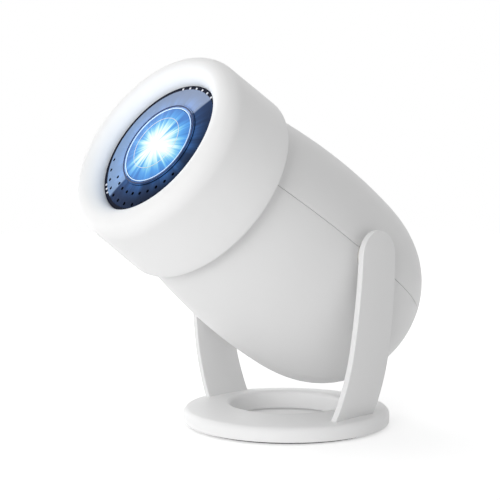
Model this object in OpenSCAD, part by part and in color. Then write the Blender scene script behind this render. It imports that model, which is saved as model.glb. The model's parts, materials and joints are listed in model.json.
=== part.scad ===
// Video projector with a round head that tilts between two arms on a ring base.
// Units are millimetres, +Z is up and the lens looks towards -Y, raised by the rest tilt.
// Head pieces are drawn in the head's frame: x along the pivot, y up, z forward along the optical axis.

/* [Stand] */
// Outer radius of the base ring
base_r = 55; // [50:0.5:62]
// Height of the base at its rim
base_h = 8.6; // [8:0.2:12]
// Rise of the base's top from the rim to the hole
base_rise = 2.2; // [0:0.1:3]
// Radius of the hole through the base
base_hole_r = 30; // [26:0.5:33]
// Rounding of the base's top edge
base_round = 3; // [2:0.5:7]
// Wall of the base's rim and hole
base_wall = 3; // [2:0.25:4]
// Thickness of the base's top
base_top_t = 2.2; // [1.8:0.2:3]
// Height of the rubber foot ring below the base
foot_h = 1.2; // [0.6:0.1:2]
// Width of the rubber foot ring
foot_w = 6; // [4:0.5:8]
// Thickness of the closing plate under the base
plate_t = 1.5; // [1.2:0.1:2]
// Thickness of the steel weight
weight_t = 1; // [0.8:0.1:1.2]
// Height of the tilt pivot above the table
pivot_h = 90; // [89:0.5:110]
// Tilt of the head at rest, in degrees
rest_tilt = 30.5; // [0:0.5:90]

/* [Arms] */
// Gap between the head and an arm at the pivot
arm_gap = 2.9; // [2.4:0.1:5]
// Thickness of an arm
arm_t = 3; // [2.5:0.1:4.5]
// Width of an arm at its round top
arm_top_w = 26; // [22:0.5:30]
// Width of an arm at its foot
arm_foot_w = 30.5; // [26:0.5:34]
// Radius of the arm's long upper bow
arm_bow_r = 390; // [360:5:600]
// Arm's outer face from the middle, where it enters the base
arm_foot_out = 45.87; // [44:0.01:48]
// Depth below the arm's top where the two bows meet
arm_knee = 59; // [50:1:65]
// Height of the flange at the arm's foot
flange_h = 2.2; // [1.8:0.1:2.6]
// Length of the flange along the base
flange_len = 25; // [20:0.5:27]
// Distance of the arm screws from the arm's inner face
arm_screw_in = 4.5; // [4:0.25:6]
// Spacing of the two screws of an arm
arm_screw_gap = 16; // [12:0.5:18]

/* [Pivot] */
// Radius of the trunnion
trunnion_r = 6; // [5:0.25:7]
// Radial running clearance of the trunnion
trunnion_play = 0.06; // [0.03:0.01:0.1]
// Wall of the pivot bush
bush_wall = 2; // [1.5:0.25:3]
// Length of the pivot bush
bush_len = 10; // [8:0.5:12]
// Thickness of the flange on the pivot bush
bush_flange_t = 1.5; // [1:0.25:2.5]
// Depth of the seat that faces the friction washer
seat_depth = 1.2; // [0.9:0.1:1.6]
// Thickness of the friction washer
friction_t = 1.5; // [1:0.1:2]
// Thickness of the wave washer
wave_t = 0.8; // [0.5:0.1:1.2]
// Thickness of the cap washer
cap_t = 1.2; // [0.8:0.1:1.6]
// Radius of the pivot screw
pivot_screw_r = 2; // [1.5:0.25:2.5]
// Axial running clearance of the pivot stack
stack_play = 0.1; // [0.05:0.05:0.2]

/* [Head shell] */
// Largest radius of the head
body_r = 56.6; // [55:0.2:60]
// Radius of the head where it meets the front ring
neck_r = 46.8; // [46:0.1:48.5]
// Distance from the pivot back to the widest section
wide_back = 16; // [10:1:20]
// Distance from the pivot forward to the neck
neck_s = 69.2; // [67:0.2:72]
// Distance from the pivot back to where the dome would close
dome_back = 80; // [78:0.5:83]
// Fullness of the dome, 2 for an ellipse
dome_power = 2.8; // [2.4:0.05:3.2]
// Wall of the shells
wall = 2.4; // [1.8:0.1:3]
// Gap of the seam between the shells
seam = 0.3; // [0.1:0.05:0.5]
// Length of the spigot inside the front ring
spigot_len = 7; // [5:0.5:9]
// Fit between pieces that are pushed together
fit = 0.15; // [0.05:0.05:0.25]

/* [Front ring] */
// Outer radius of the ring at its rear edge
ring_rear_r = 51.8; // [51:0.1:54]
// Outer radius of the ring at its shoulder
ring_r = 49.5; // [48.5:0.1:51]
// Length of the ring from its rear edge to the front of its lip
ring_len = 40.2; // [39:0.2:44]
// Gap between the ring and the shells
ring_gap = 0.6; // [0.3:0.1:1]
// Radius of the lip's crest line
crest_r = 42.3; // [41.5:0.1:43]
// Rounding of the lip's crest
crest_round = 6; // [5:0.25:6.5]
// Radius of the opening inside the lip
opening_r = 35.2; // [34.5:0.1:36]
// Wall of the ring
ring_wall = 3; // [2:0.25:3.5]
// Depth of the black panel behind the lip's crest
panel_depth = 8.4; // [8:0.1:12]

/* [Front panel] */
// Thickness of the panel
panel_t = 2; // [1.5:0.1:2.5]
// Rise of the panel from its rim to the lens
panel_rise = 0.9; // [0.5:0.1:4]
// Radius of a sound hole
sound_r = 0.85; // [0.5:0.05:1]
// Angle between sound holes
sound_step = 11.5; // [8:0.5:14]
// Sound holes in the outer row
sound_count_out = 15; // [7:1:15]
// Sound holes in the inner row
sound_count_in = 10; // [4:1:10]
// Outer row of sound holes from the middle
sound_row_out = 31; // [30:0.1:32.5]
// Inner row of sound holes from the middle
sound_row_in = 25.5; // [25:0.1:28.5]

/* [Lens] */
// Rise of the lens above the head's axis
lens_up = 1; // [0:0.25:2]
// Radius of the lens tube's nose
nose_r = 19.6; // [18:0.1:20]
// Wall of the nose
nose_wall = 1.8; // [1.2:0.1:2.2]
// Outer radius of the lens tube
tube_r = 23.5; // [23:0.1:24.5]
// Wall of the lens tube
tube_wall = 2.4; // [1.6:0.1:3]
// Wall of the guide tube
guide_wall = 1.9; // [1.5:0.1:2.2]
// Radial sliding clearance of the lens tube
slide_play = 0.06; // [0.03:0.01:0.1]
// Focus travel of the lens to either side of rest
focus_travel = 2.5; // [1.5:0.1:3]
// Turn of the focus ring to either side of rest, in degrees
focus_turn = 45; // [30:1:50]
// Radius of the drive pin on the lens tube
drive_pin_r = 1.2; // [1:0.05:1.5]
// Play between the drive pin and its slots
pin_play = 0.4; // [0.3:0.05:0.6]
// Width of the trim ring round the lens
trim_w = 1.6; // [1.2:0.1:2]
// Gap between the nose and the trim ring
trim_gap = 0.6; // [0.4:0.1:1]
// Rise of the trim ring's front edge
trim_rise = 1.4; // [1:0.1:2.4]

/* [Focus gear] */
// Gear module
gear_m = 1.5; // [1.4:0.05:1.6]
// Teeth on the focus ring
ring_teeth = 38; // [38:2:40]
// Teeth on the focus wheel
wheel_teeth = 16; // [14:2:18]
// Width of the focus ring's teeth
gear_w = 6; // [5:0.25:7]
// Backlash between the gears
backlash = 0.35; // [0.25:0.05:0.5]
// Radius of the wheel's axle
axle_r = 2; // [1.5:0.25:2.5]
// Room round the wheel in its slot
wheel_room = 0.9; // [0.6:0.1:1.5]

/* [Light engine] */
// Outer width of the engine box
box_w = 66; // [62:1:68]
// Outer height of the engine box
box_h = 62; // [58:1:64]
// Wall of the engine box
box_wall = 2; // [1.5:0.25:3]
// Distance from the pivot forward to the box's front
box_front = 46; // [44:0.5:47]
// Distance from the pivot back to the box's rear
box_back = 12; // [10:0.5:14]
// Thickness of the lens seat's plate
seat_t = 3; // [2.5:0.25:3.5]
// Thickness of a Fresnel plate
fresnel_t = 2; // [1.5:0.25:3]
// Thickness of the picture panel
picture_t = 2.4; // [1.5:0.1:3]
// Radius of the condenser lens
condenser_r = 22; // [18:0.5:25]
// Width of the LED board
led_w = 50; // [40:1:54]
// Thickness of the heat sink's base
sink_base_t = 4; // [3:0.25:5]
// Length of the heat sink's fins
fin_len = 24; // [20:0.5:26]
// Pitch of the fins
fin_pitch = 5; // [5:0.1:5.2]
// Thickness of a fin
fin_t = 1.6; // [1:0.1:1.8]
// Count of fins
fin_count = 14; // [10:2:14]

/* [Fan] */
// Width of the fan's frame
fan_w = 60; // [56:0.5:62]
// Depth of the fan's frame
fan_d = 12; // [10:0.5:13]
// Wall of the fan's frame beside its duct
duct_wall = 2.5; // [2:0.25:3.5]
// Radius of the rotor's hub
hub_r = 12; // [10:0.5:14]
// Count of blades
blade_count = 7; // [5:1:9]
// Chord of a blade
blade_chord = 10; // [7:0.5:11]
// Pitch angle of a blade, in degrees
blade_pitch = 35; // [25:1:45]

/* [Boards] */
// Thickness of a circuit board
board_t = 1.6; // [1:0.1:2]
// Length of the main and power boards
board_len = 66; // [56:1:72]
// Width of the main and power boards
board_w = 52; // [44:1:56]
// Height of the boards above the engine box
board_lift = 7; // [5:0.5:8]

/* [Speaker] */
// Width of the speaker
speaker_w = 32; // [28:1:34]
// Height of the speaker
speaker_h = 17; // [15:0.5:18]
// Depth of the speaker
speaker_d = 12; // [10:0.5:13]

/* [Rear panel] */
// Radius of the rear panel
rear_r = 33.5; // [33:0.25:34.5]
// Width of the shell's rim round the rear panel
rear_rim = 2.5; // [2:0.25:3]
// Thickness of the rear panel
rear_t = 2.4; // [2:0.2:3]
// Height of a vent slot
vent_h = 1.8; // [1.4:0.1:2.2]
// Pitch of the vent slots
vent_pitch = 3.6; // [3.2:0.1:4]
// Count of vent slots
vent_count = 6; // [4:1:6]
// Depth of the sockets behind the rear panel's face
socket_d = 9.5; // [9:0.5:11]
// Radius of the power button
button_r = 4.5; // [3.5:0.25:5]
// Travel of the power button
button_travel = 0.6; // [0.4:0.1:1]
// Height of the power button above the panel's face
button_proud = 1.2; // [1:0.1:2]

/* [Hidden] */
$fn = 96;
big = 400;
eps = 0.01;
cut = 1;
ball_facets = 288;
cam_facets = 24;
round_steps = 8;
crest_steps = 10;
curl_steps = 6;
small_steps = 4;
curve_steps = 14;

// Profile of the head
rear_flat_r = rear_r + rear_rim;
dome_len = dome_back - wide_back;
function body_radius(s) = s > -wide_back
    ? body_r - (body_r - neck_r) * pow((s + wide_back) / (neck_s + wide_back), 2)
    : body_r * pow(1 - pow((-wide_back - s) / dome_len, dome_power), 1 / dome_power);
function dome_depth(r, inset) = wide_back
    + (dome_len - inset) * pow(1 - pow(r / (body_r - inset), dome_power), 1 / dome_power);
rear_s = dome_depth(rear_flat_r, 0);
function front_points(inset, s_end) = [for (i = [0 : curve_steps])
    let (s = s_end - i / curve_steps * (s_end + wide_back))
    [body_radius(s) - inset, s]];
function dome_points(inset, r_end) = [for (i = [1 : curve_steps])
    let (
        turn_end = acos(pow(r_end / (body_r - inset), dome_power / 2)),
        turn = turn_end * i / curve_steps)
    [(body_r - inset) * pow(cos(turn), 2 / dome_power),
     -wide_back - (dome_len - inset) * pow(sin(turn), 2 / dome_power)]];
function arc(x, y, r, a0, a1, n) = [for (i = [0 : n])
    [x + r * cos(a0 + (a1 - a0) * i / n), y + r * sin(a0 + (a1 - a0) * i / n)]];
function flip(points) = [for (i = [len(points) - 1 : -1 : 0]) points[i]];

// Front ring and panel
ring_s = neck_s + ring_gap;
ring_front_s = ring_s + ring_len;
crest_s = ring_front_s - crest_round;
crest_lean = 50;
lip_lean = 30;
shoulder_round = (ring_r - crest_r - crest_round * sin(crest_lean)) / (1 - sin(crest_lean));
shoulder_x = ring_r - shoulder_round;
shoulder_s = crest_s - (shoulder_round - crest_round) * cos(crest_lean);
lip_round = (crest_r - opening_r - crest_round * sin(lip_lean)) / (1 - sin(lip_lean));
lip_x = opening_r + lip_round;
lip_s = crest_s - (lip_round - crest_round) * cos(lip_lean);
ring_edge_round = 1.2;
panel_s = ring_front_s - panel_depth;
panel_r = opening_r + 1.7;
panel_flange_w = 2.4;
panel_flange_t = 3;
panel_wall = 2.5;
panel_flat = 0.5;
panel_back_s = panel_s - panel_flange_t - panel_wall;
spigot_t = 2.2;
ring_bore_r = ring_r - ring_wall + 1.4;
spigot_r = ring_bore_r - fit;
spigot_root = 4;

// Lens and focus
guide_bore_r = tube_r + slide_play;
guide_r = guide_bore_r + guide_wall;
guide_front = panel_back_s - 2;
seat_front = box_front + seat_t;
collar_t = 1.3;
collar_w = 1.5;
thrust_gap = 0.2;
gear_s = seat_front + collar_t + thrust_gap;
cam_s = gear_s + gear_w;
cam_len = 2 * (focus_travel + drive_pin_r + pin_play) + 1.8;
cam_t = 3.4;
cam_step = 3;
pin_s = cam_s + cam_len / 2;
ring_play = 0.08;
cam_in_r = guide_r + ring_play;
cam_r = cam_in_r + cam_t;
addendum = 0.9;
dedendum = 1.2;
pressure = 20;
ring_pitch_r = gear_m * ring_teeth / 2;
wheel_pitch_r = gear_m * wheel_teeth / 2;
wheel_x = ring_pitch_r + wheel_pitch_r;
wheel_r = wheel_pitch_r + addendum * gear_m;
wheel_w = gear_w - thrust_gap;
wheel_s = gear_s;
wheel_hub_w = 2.5;
wheel_slot = 2 * wheel_r + 0.4;
clip_t = 1;
axle_tip = 0.5;
clip_w = 2;
axle_end = wheel_s + wheel_w + thrust_gap + clip_t + axle_tip;
retainer_t = 1.5;
retainer_in = 1;
retainer_s = cam_s + cam_len + thrust_gap;
tube_back = seat_front + 1.2;
shoulder_gap = 1;
tube_shoulder_s = guide_front + shoulder_gap;
panel_top = panel_s + panel_rise;
nose_front = panel_top + trim_rise / 2;
trim_in_r = nose_r + trim_gap;
trim_r = trim_in_r + trim_w;
trim_wall = 1;
lens_seat_gap = 0.1;
front_lens_r = nose_r - nose_wall - lens_seat_gap;
front_lens_back = nose_front - 4.4;
front_lens_edge = 2;
front_lens_sag = 3;
inner_lens_r = tube_r - tube_wall - lens_seat_gap;
inner_lens_edge = 3;
inner_lens_sag = 2.6;
rear_lens_inset = 4;
mid_lens_inset = 20;
rear_lens_s = tube_back + rear_lens_inset;
mid_lens_s = tube_back + mid_lens_inset;
lens_ledge_w = 1.2;
lens_retainer_t = 1.6;

// Pivot stack, outwards from the axis along x
pivot_r = body_radius(0);
seat_x = pivot_r - seat_depth;
friction_x = seat_x + stack_play;
arm_in_x = pivot_r + arm_gap;
pad_x = friction_x + friction_t + stack_play;
bush_in_x = seat_x - bush_len;
flange_x = bush_in_x - bush_flange_t;
wave_x = flange_x - stack_play - wave_t;
cap_x = wave_x - cap_t;
bush_r = trunnion_r + trunnion_play + bush_wall;
bush_flange_r = bush_r + 2;
boss_wall = 3;
washer_play = 0.1;
cap_over = 1;
boss_r = bush_r + boss_wall;
seat_r = bush_r + 1.4;
pad_r = bush_r + 0.8;
screw_head_h = 2.2;
pivot_head_r = pivot_screw_r + 2;
pivot_screw_len = 9;

// Arms
arm_top_z = pivot_h + arm_top_w / 2;
arm_out_x = arm_in_x + arm_t;
bow_x = arm_out_x - arm_bow_r;
knee_lean = asin(arm_knee / arm_bow_r);
knee_x = bow_x + arm_bow_r * cos(knee_lean);
foot_dx = arm_foot_out - knee_x;
foot_dz = base_h - base_top_t - arm_top_z + arm_knee;
arm_foot_bow_r = -(foot_dx * foot_dx + foot_dz * foot_dz)
    / (2 * (foot_dx * cos(knee_lean) - foot_dz * sin(knee_lean)));
foot_bow_x = bow_x + (arm_bow_r - arm_foot_bow_r) * cos(knee_lean);
foot_bow_z = arm_top_z - (arm_bow_r - arm_foot_bow_r) * sin(knee_lean);
function foot_x(z, r) = foot_bow_x + sqrt(r * r - (z - foot_bow_z) * (z - foot_bow_z));
cavity_top = base_h - base_top_t;
flange_z = cavity_top - flange_h;
flange_in_x = foot_x(cavity_top, arm_foot_bow_r - arm_t) - 2 * arm_screw_in + 1;
flange_out_x = foot_x(cavity_top, arm_foot_bow_r) + 2;
arm_screw_x = foot_x(cavity_top, arm_foot_bow_r - arm_t) - arm_screw_in;
m3_r = 1.5;
m3_head_r = 2.7;
m3_head_h = 1.2;
m3_clear = 0.2;

// Base
plate_in_r = base_hole_r + base_wall;
plate_out_r = base_r - base_wall;
plate_z = foot_h;
weight_z = plate_z + plate_t;
hole_round = 2;
base_edge = 1;
foot_inset = 1;

// Light engine
plate_fit = 0.2;
optic_w = box_w - 2 * box_wall - 2 * plate_fit;
optic_h = box_h - 2 * box_wall - 2 * plate_fit;
fresnel_inset = 10;
picture_gap = 6;
fresnel_gap = 8;
heat_glass_gap = 8;
fresnel_front_s = box_front - fresnel_inset;
picture_s = fresnel_front_s - picture_gap;
fresnel_rear_s = picture_s - fresnel_gap;
heat_glass_s = fresnel_rear_s - heat_glass_gap;
heat_glass_t = 1.1;
condenser_inset = 10;
condenser_s = -box_back + condenser_inset;
condenser_sag = 9;
condenser_flange_t = 2;
pedestal_h = 1.4;
led_chip_w = 14;
led_chip_t = 1.5;
lug_w = 7;
lug_t = 2.5;
lug_root = 1;
ear_r = 3.5;
ear_x = box_w / 2 + ear_r - 0.5;
ear_gap = 1.1;
ear_ring_r = body_radius(box_front) - wall - ear_r - ear_gap;
ear_y = sqrt(ear_ring_r * ear_ring_r - ear_x * ear_x);
ear_len = 12;
lug_inset = 6;
lug_ear_gap = 1;
lug_gap = 0.35;
lug_s = [-box_back + lug_inset, box_front - ear_len - lug_w / 2 - lug_ear_gap];
lug_out = box_w / 2 + lug_w;
lug_reach = body_radius(lug_s[1] + lug_w / 2) - wall - lug_gap;
lug_y = max(-box_h / 2, -sqrt(lug_reach * lug_reach - lug_out * lug_out));
m25_r = 1.25;
m25_head_r = 2.3;
m25_head_h = 1.5;
fin_s = -box_back - sink_base_t;
fan_s = fin_s - fin_len;
duct_r = fan_w / 2 - duct_wall;
fan_hole_in = 5;
fin_shift = (fin_count % 2) / 2;
fan_hole = fin_pitch * (round((fan_w / 2 - fan_hole_in) / fin_pitch - fin_shift) + fin_shift);
sink_w = (fin_count - 1) * fin_pitch + fin_t;
rotor_gap = 0.8;
strut_t = 1.2;
strut_w = 4;
strut_root = 1;
hub_floor = 0.6;
fan_shaft_r = 1.5;
fan_shaft_play = 0.05;
screw_bite = 8;
engine_bite = 3.5;

// Boards
board_s = box_front - 6 - board_len;
standoff_r = 2.5;
standoff_x = board_w / 2 - 4;
standoff_rear = 5;
standoff_front = 12;
standoff_s = [-box_back + standoff_rear, box_front - standoff_front];
main_y = box_h / 2 + board_lift;
chip_w = 16;
chip_t = 3;
chip_s = 6;
memory_x = 6;
memory_w = 12;
memory_t = 2.4;
memory_len = 18;
plug_x = 4;
plug_w = 8;
plug_t = 4;
plug_len = 12;
coil_w = 20;
coil_t = 8;
coil_len = 18;
can_gap = 12;
can_r = 4;
can_h = 7;

// Speaker
speaker_gap = 1;
speaker_rim = 1.5;
cone_t = 2;
cone_r = 3;

// Rear panel and its pieces
rear_in_s = rear_s - rear_t;
ledge_w = 2.6;
ledge_t = 2.4;
ledge_reach = 2.5;
io_s = rear_s - socket_d;
rear_boss_r = 3.2;
rear_boss_len = 6;
screw_tip_gap = 1.5;
rear_screw_ring = rear_r - 4.9;
rear_screw_turns = [54, 126, 226, 314];
port_y = -8;
inlet_y = -21.5;
inlet_w = 22;
inlet_h = 11;
inlet_pin_gap = 8.6;
inlet_pin_r = 1.15;
inlet_lobe_r = 4.3;
inlet_depth = 7;
inlet_pin_in = 1.5;
hdmi_x = -16;
hdmi_w = 15;
hdmi_h = 5.6;
usb_x = 3;
usb_w = 13.2;
usb_h = 5.8;
metal_t = 0.5;
tongue_t = 1.4;
tongue_side = 1;
tongue_in = 1;
socket_floor = 1;
jack_x = 19;
jack_w = 8;
jack_bore_r = 1.8;
jack_nose_r = 3;
port_clear = 0.2;
vent_y = -0.5;
vent_reach = 24;
vent_short = 12;
vent_full_rows = 4;
button_flange = 1.2;
button_y = rear_r - ledge_w - button_r - button_flange - 0.5;
button_play = 0.15;
button_flange_t = 1.2;
switch_w = 6;
switch_t = 3;
window_x = 10.5;
window_r = 2.4;
io_w = 54;
io_top = port_y + 6;
io_bottom = inlet_y - 7;
io_post_x = 25;
io_post_r = 2;
io_post_drop = 5;
button_board_w = 20;
button_board_h = 9;
button_board_s = rear_in_s - button_flange_t - button_travel - thrust_gap - switch_t;
button_post_x = 7.5;
button_post_r = 1.8;
button_post_up = 1;

// Names of the pieces, each drawn by a module of the same name

// Frames and small helpers
module head() {
    translate([0, 0, pivot_h])
        rotate([90 - rest_tilt, 0, 0])
            children();
}

module lens_axis() {
    head()
        translate([0, lens_up, 0])
            children();
}

module both_sides() {
    children();
    mirror([1, 0, 0])
        children();
}

module along_x(x) {
    translate([x, 0, 0])
        rotate([0, 90, 0])
            children();
}

module slab(x, y, z0, z1) {
    translate([-x / 2, -y / 2, z0])
        cube([x, y, z1 - z0]);
}

module tube(r_out, r_in, z0, z1) {
    translate([0, 0, z0])
        difference() {
            cylinder(r = r_out, h = z1 - z0);
            translate([0, 0, -eps])
                cylinder(r = r_in, h = z1 - z0 + 2 * eps);
        }
}

module rod(r, z0, z1) {
    translate([0, 0, z0])
        cylinder(r = r, h = z1 - z0);
}

module screw(r, length, head_r, head_h) {
    rod(r, -length, eps);
    rod(head_r, 0, head_h);
}

// Convex lens with a straight edge, lying on z = 0
module convex(r, edge, sag) {
    ball_r = (r * r + sag * sag) / (2 * sag);
    intersection() {
        rod(r, 0, edge + sag);
        translate([0, 0, edge + sag - ball_r])
            sphere(r = ball_r, $fn = ball_facets);
    }
}

// Stand
module base_ring() {
    hole_top = base_h + base_rise;
    color("white")
        difference() {
            rotate_extrude()
                polygon(concat(
                    [[base_r - base_edge, foot_h], [base_r, foot_h + base_edge]],
                    arc(base_r - base_round, base_h - base_round, base_round, 0, 90, round_steps),
                    arc(base_hole_r + hole_round, hole_top - hole_round, hole_round, 90, 180, small_steps),
                    [[base_hole_r, foot_h], [plate_in_r, foot_h], [plate_in_r, cavity_top],
                     [plate_out_r, cavity_top], [plate_out_r, foot_h]]));
            both_sides()
                arm_strip(fit, flange_z);
        }
}

module arm_screw_places() {
    both_sides()
        for (y = [-arm_screw_gap / 2, arm_screw_gap / 2])
            translate([arm_screw_x, y, 0])
                children();
}

module base_weight() {
    color("dimgray")
        difference() {
            tube(plate_out_r - fit, plate_in_r + fit, weight_z, weight_z + weight_t);
            arm_screw_places()
                rod(m3_r + m3_clear, weight_z - cut, weight_z + weight_t + cut);
        }
}

module base_plate() {
    color("gainsboro")
        difference() {
            tube(plate_out_r - fit, plate_in_r + fit, plate_z, weight_z);
            arm_screw_places()
                rod(m3_r + m3_clear, plate_z - cut, weight_z + cut);
            arm_screw_places()
                rod(m3_head_r + m3_clear, plate_z - cut, plate_z + m3_head_h);
        }
}

module foot_ring() {
    color("black")
        tube(plate_out_r - fit - foot_inset, plate_out_r - fit - foot_inset - foot_w, 0, foot_h);
}

module arm_outline(extra, z_low) {
    top_r = arm_top_w / 2 + extra;
    foot_half = arm_foot_w / 2 + extra;
    rotate([90, 0, 90])
        linear_extrude(height = big) {
            translate([0, pivot_h])
                circle(r = top_r);
            polygon([[-foot_half, z_low], [foot_half, z_low], [top_r, pivot_h], [-top_r, pivot_h]]);
        }
}

module bow(x, z, r, extra) {
    translate([x, big / 2, z])
        rotate([90, 0, 0])
            difference() {
                cylinder(r = r + extra, h = big);
                translate([0, 0, -cut])
                    cylinder(r = r - arm_t - extra, h = big + 2 * cut);
            }
}

module knee_half(lift) {
    translate([bow_x, -big / 2, arm_top_z])
        rotate([0, knee_lean, 0])
            translate([0, 0, lift])
                cube([2 * big, big, big]);
}

// Bowed strip of an arm, with a long upper bow and a tighter lower one
module arm_strip(extra, z_low) {
    intersection() {
        union() {
            intersection() {
                bow(bow_x, arm_top_z, arm_bow_r, extra);
                knee_half(0);
            }
            intersection() {
                bow(foot_bow_x, foot_bow_z, arm_foot_bow_r, extra);
                knee_half(-big);
            }
        }
        arm_outline(extra, z_low);
    }
}

module arm() {
    difference() {
        union() {
            arm_strip(0, flange_z);
            translate([flange_in_x, -flange_len / 2, flange_z])
                cube([flange_out_x - flange_in_x, flange_len, flange_h - fit]);
            translate([0, 0, pivot_h]) {
                along_x(cap_x + cap_t)
                    cylinder(r = trunnion_r, h = arm_in_x + arm_t / 2 - cap_x - cap_t);
                along_x(pad_x)
                    cylinder(r = pad_r, h = arm_in_x + arm_t / 2 - pad_x);
            }
        }
        translate([0, 0, pivot_h])
            along_x(cap_x)
                cylinder(r = pivot_screw_r, h = pivot_screw_len + cap_t);
        for (y = [-arm_screw_gap / 2, arm_screw_gap / 2])
            translate([arm_screw_x, y, 0])
                rod(m3_r, flange_z - cut, cavity_top + cut);
    }
}

module arm_right() {
    color("white")
        arm();
}

module arm_left() {
    color("white")
        mirror([1, 0, 0])
            arm();
}

module arm_screws() {
    color("silver")
        arm_screw_places()
            translate([0, 0, plate_z + m3_head_h])
                rotate([180, 0, 0])
                    screw(m3_r, cavity_top - plate_z - m3_head_h - fit, m3_head_r, m3_head_h);
}

// Tilt pivot
module pivot_rings(r_out, r_in, x0, x1) {
    both_sides()
        translate([0, 0, pivot_h])
            along_x(0)
                tube(r_out, r_in, x0, x1);
}

module friction_washers() {
    color("dimgray")
        pivot_rings(pad_r, trunnion_r + washer_play, friction_x, friction_x + friction_t);
}

module wave_washers() {
    color("silver")
        pivot_rings(bush_r, trunnion_r + washer_play, wave_x, wave_x + wave_t);
}

module cap_washers() {
    color("silver")
        pivot_rings(bush_r + cap_over, pivot_screw_r + washer_play, cap_x, cap_x + cap_t);
}

module pivot_screws() {
    color("silver")
        both_sides()
            translate([0, 0, pivot_h])
                along_x(cap_x)
                    rotate([180, 0, 0])
                        screw(pivot_screw_r, pivot_screw_len, pivot_head_r, screw_head_h);
}

module pivot_bushes() {
    color("khaki")
        both_sides()
            head()
                along_x(0) {
                    tube(bush_r, trunnion_r + trunnion_play, bush_in_x, seat_x);
                    tube(bush_flange_r, trunnion_r + trunnion_play, flange_x, bush_in_x);
                }
}

// Head shells
module shell_wall() {
    ledge_front = -(rear_in_s - ledge_t);
    ledge_wall_r = rear_flat_r + ledge_reach;
    inner_rear = [for (p = dome_points(wall, ledge_wall_r)) if (p[1] > ledge_front) p];
    rotate_extrude()
        polygon(concat(
            [[spigot_r - spigot_t, neck_s + spigot_len], [spigot_r, neck_s + spigot_len], [spigot_r, neck_s]],
            front_points(0, neck_s),
            dome_points(0, rear_flat_r),
            [[rear_r + fit, -rear_s], [rear_r + fit, -rear_in_s], [rear_r - ledge_w, -rear_in_s],
             [rear_r - ledge_w, ledge_front], [inner_rear[len(inner_rear) - 1][0], ledge_front]],
            flip(inner_rear),
            flip(front_points(wall, neck_s - spigot_root)),
            [[spigot_r - spigot_t, neck_s - spigot_root]]));
}

module rear_boss_places(turns) {
    for (turn = turns)
        translate([rear_screw_ring * cos(turn), rear_screw_ring * sin(turn), -rear_in_s])
            children();
}

module engine_post_places() {
    both_sides()
        for (s = lug_s)
            translate([box_w / 2 + lug_w / 2, lug_y, s])
                children();
}

module shell(turns) {
    difference() {
        union() {
            shell_wall();
            both_sides()
                along_x(bush_in_x)
                    cylinder(r = boss_r, h = bush_len);
            rear_boss_places(turns)
                cylinder(r = rear_boss_r, h = rear_boss_len);
        }
        both_sides() {
            along_x(seat_x)
                cylinder(r = seat_r, h = big);
            along_x(bush_in_x - cut)
                cylinder(r = bush_r, h = bush_len + 2 * cut);
        }
        rear_boss_places(turns)
            translate([0, 0, -cut])
                cylinder(r = m25_r, h = rear_boss_len);
        translate([-wheel_x - wheel_r, lens_up - wheel_slot / 2, wheel_s - wheel_room])
            cube([2 * wheel_r, wheel_slot, wheel_w + 2 * wheel_room]);
    }
}
module upper_shell() {
    color("white")
        head()
            intersection() {
                shell([for (turn = rear_screw_turns) if (turn < 180) turn]);
                translate([-big / 2, seam / 2, -big / 2])
                    cube(big);
            }
}

module lower_shell() {
    color("whitesmoke")
        head()
            intersection() {
                difference() {
                    union() {
                        shell([for (turn = rear_screw_turns) if (turn > 180) turn]);
                        intersection() {
                            engine_post_places()
                                rotate([90, 0, 0])
                                    cylinder(r = ear_r, h = body_r / 2);
                            rotate_extrude()
                                polygon(concat(
                                    [[0, neck_s]],
                                    front_points(wall / 2, neck_s),
                                    dome_points(wall / 2, rear_flat_r),
                                    [[0, -rear_s]]));
                        }
                    }
                    engine_post_places()
                        rotate([90, 0, 0])
                            translate([0, 0, -cut])
                                cylinder(r = m25_r, h = engine_bite + cut);
                }
                translate([-big / 2, -big - seam / 2, -big / 2])
                    cube(big);
            }
}

// Front ring and panel
module front_ring() {
    color("white")
        head()
            rotate_extrude()
                polygon(concat(
                    [[ring_bore_r, ring_s]],
                    arc(ring_rear_r - ring_edge_round, ring_s + ring_edge_round, ring_edge_round, -90, 0, small_steps),
                    arc(shoulder_x, shoulder_s, shoulder_round, 0, 90 - crest_lean, curl_steps),
                    arc(crest_r, crest_s, crest_round, 90 - crest_lean, 90 + lip_lean, crest_steps),
                    arc(lip_x, lip_s, lip_round, 90 + lip_lean, 180, curl_steps),
                    [[opening_r, panel_s], [panel_r + fit, panel_s], [panel_r + fit, panel_back_s],
                     [panel_r + fit + panel_wall, panel_back_s], [panel_r + fit + panel_wall, panel_s],
                     [crest_r, panel_s + ring_wall], [ring_r - ring_wall, shoulder_s],
                     [ring_r - ring_wall, neck_s + spigot_len + ring_gap],
                     [ring_bore_r, neck_s + spigot_len + ring_gap]]));
}

module front_panel() {
    rim_r = panel_r - panel_flange_w;
    flat_r = trim_r + lens_up + panel_flat;
    color([0.06, 0.07, 0.1])
        head()
            difference() {
                rotate_extrude()
                    polygon([
                        [0, panel_top], [flat_r, panel_top], [rim_r, panel_s], [panel_r, panel_s],
                        [panel_r, panel_s - panel_flange_t], [rim_r, panel_s - panel_flange_t],
                        [flat_r, panel_top - panel_t], [0, panel_top - panel_t]]);
                translate([0, lens_up, 0])
                    rod(trim_r, panel_top - panel_t - cut, panel_top + cut);
                for (row = [[sound_row_out, sound_count_out], [sound_row_in, sound_count_in]])
                    for (i = [0 : row[1] - 1])
                        rotate([0, 0, (i - (row[1] - 1) / 2) * sound_step - 90])
                            translate([row[0], 0, 0])
                                rod(sound_r, panel_s - panel_flange_t - cut, panel_top + cut);
            }
}

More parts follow.
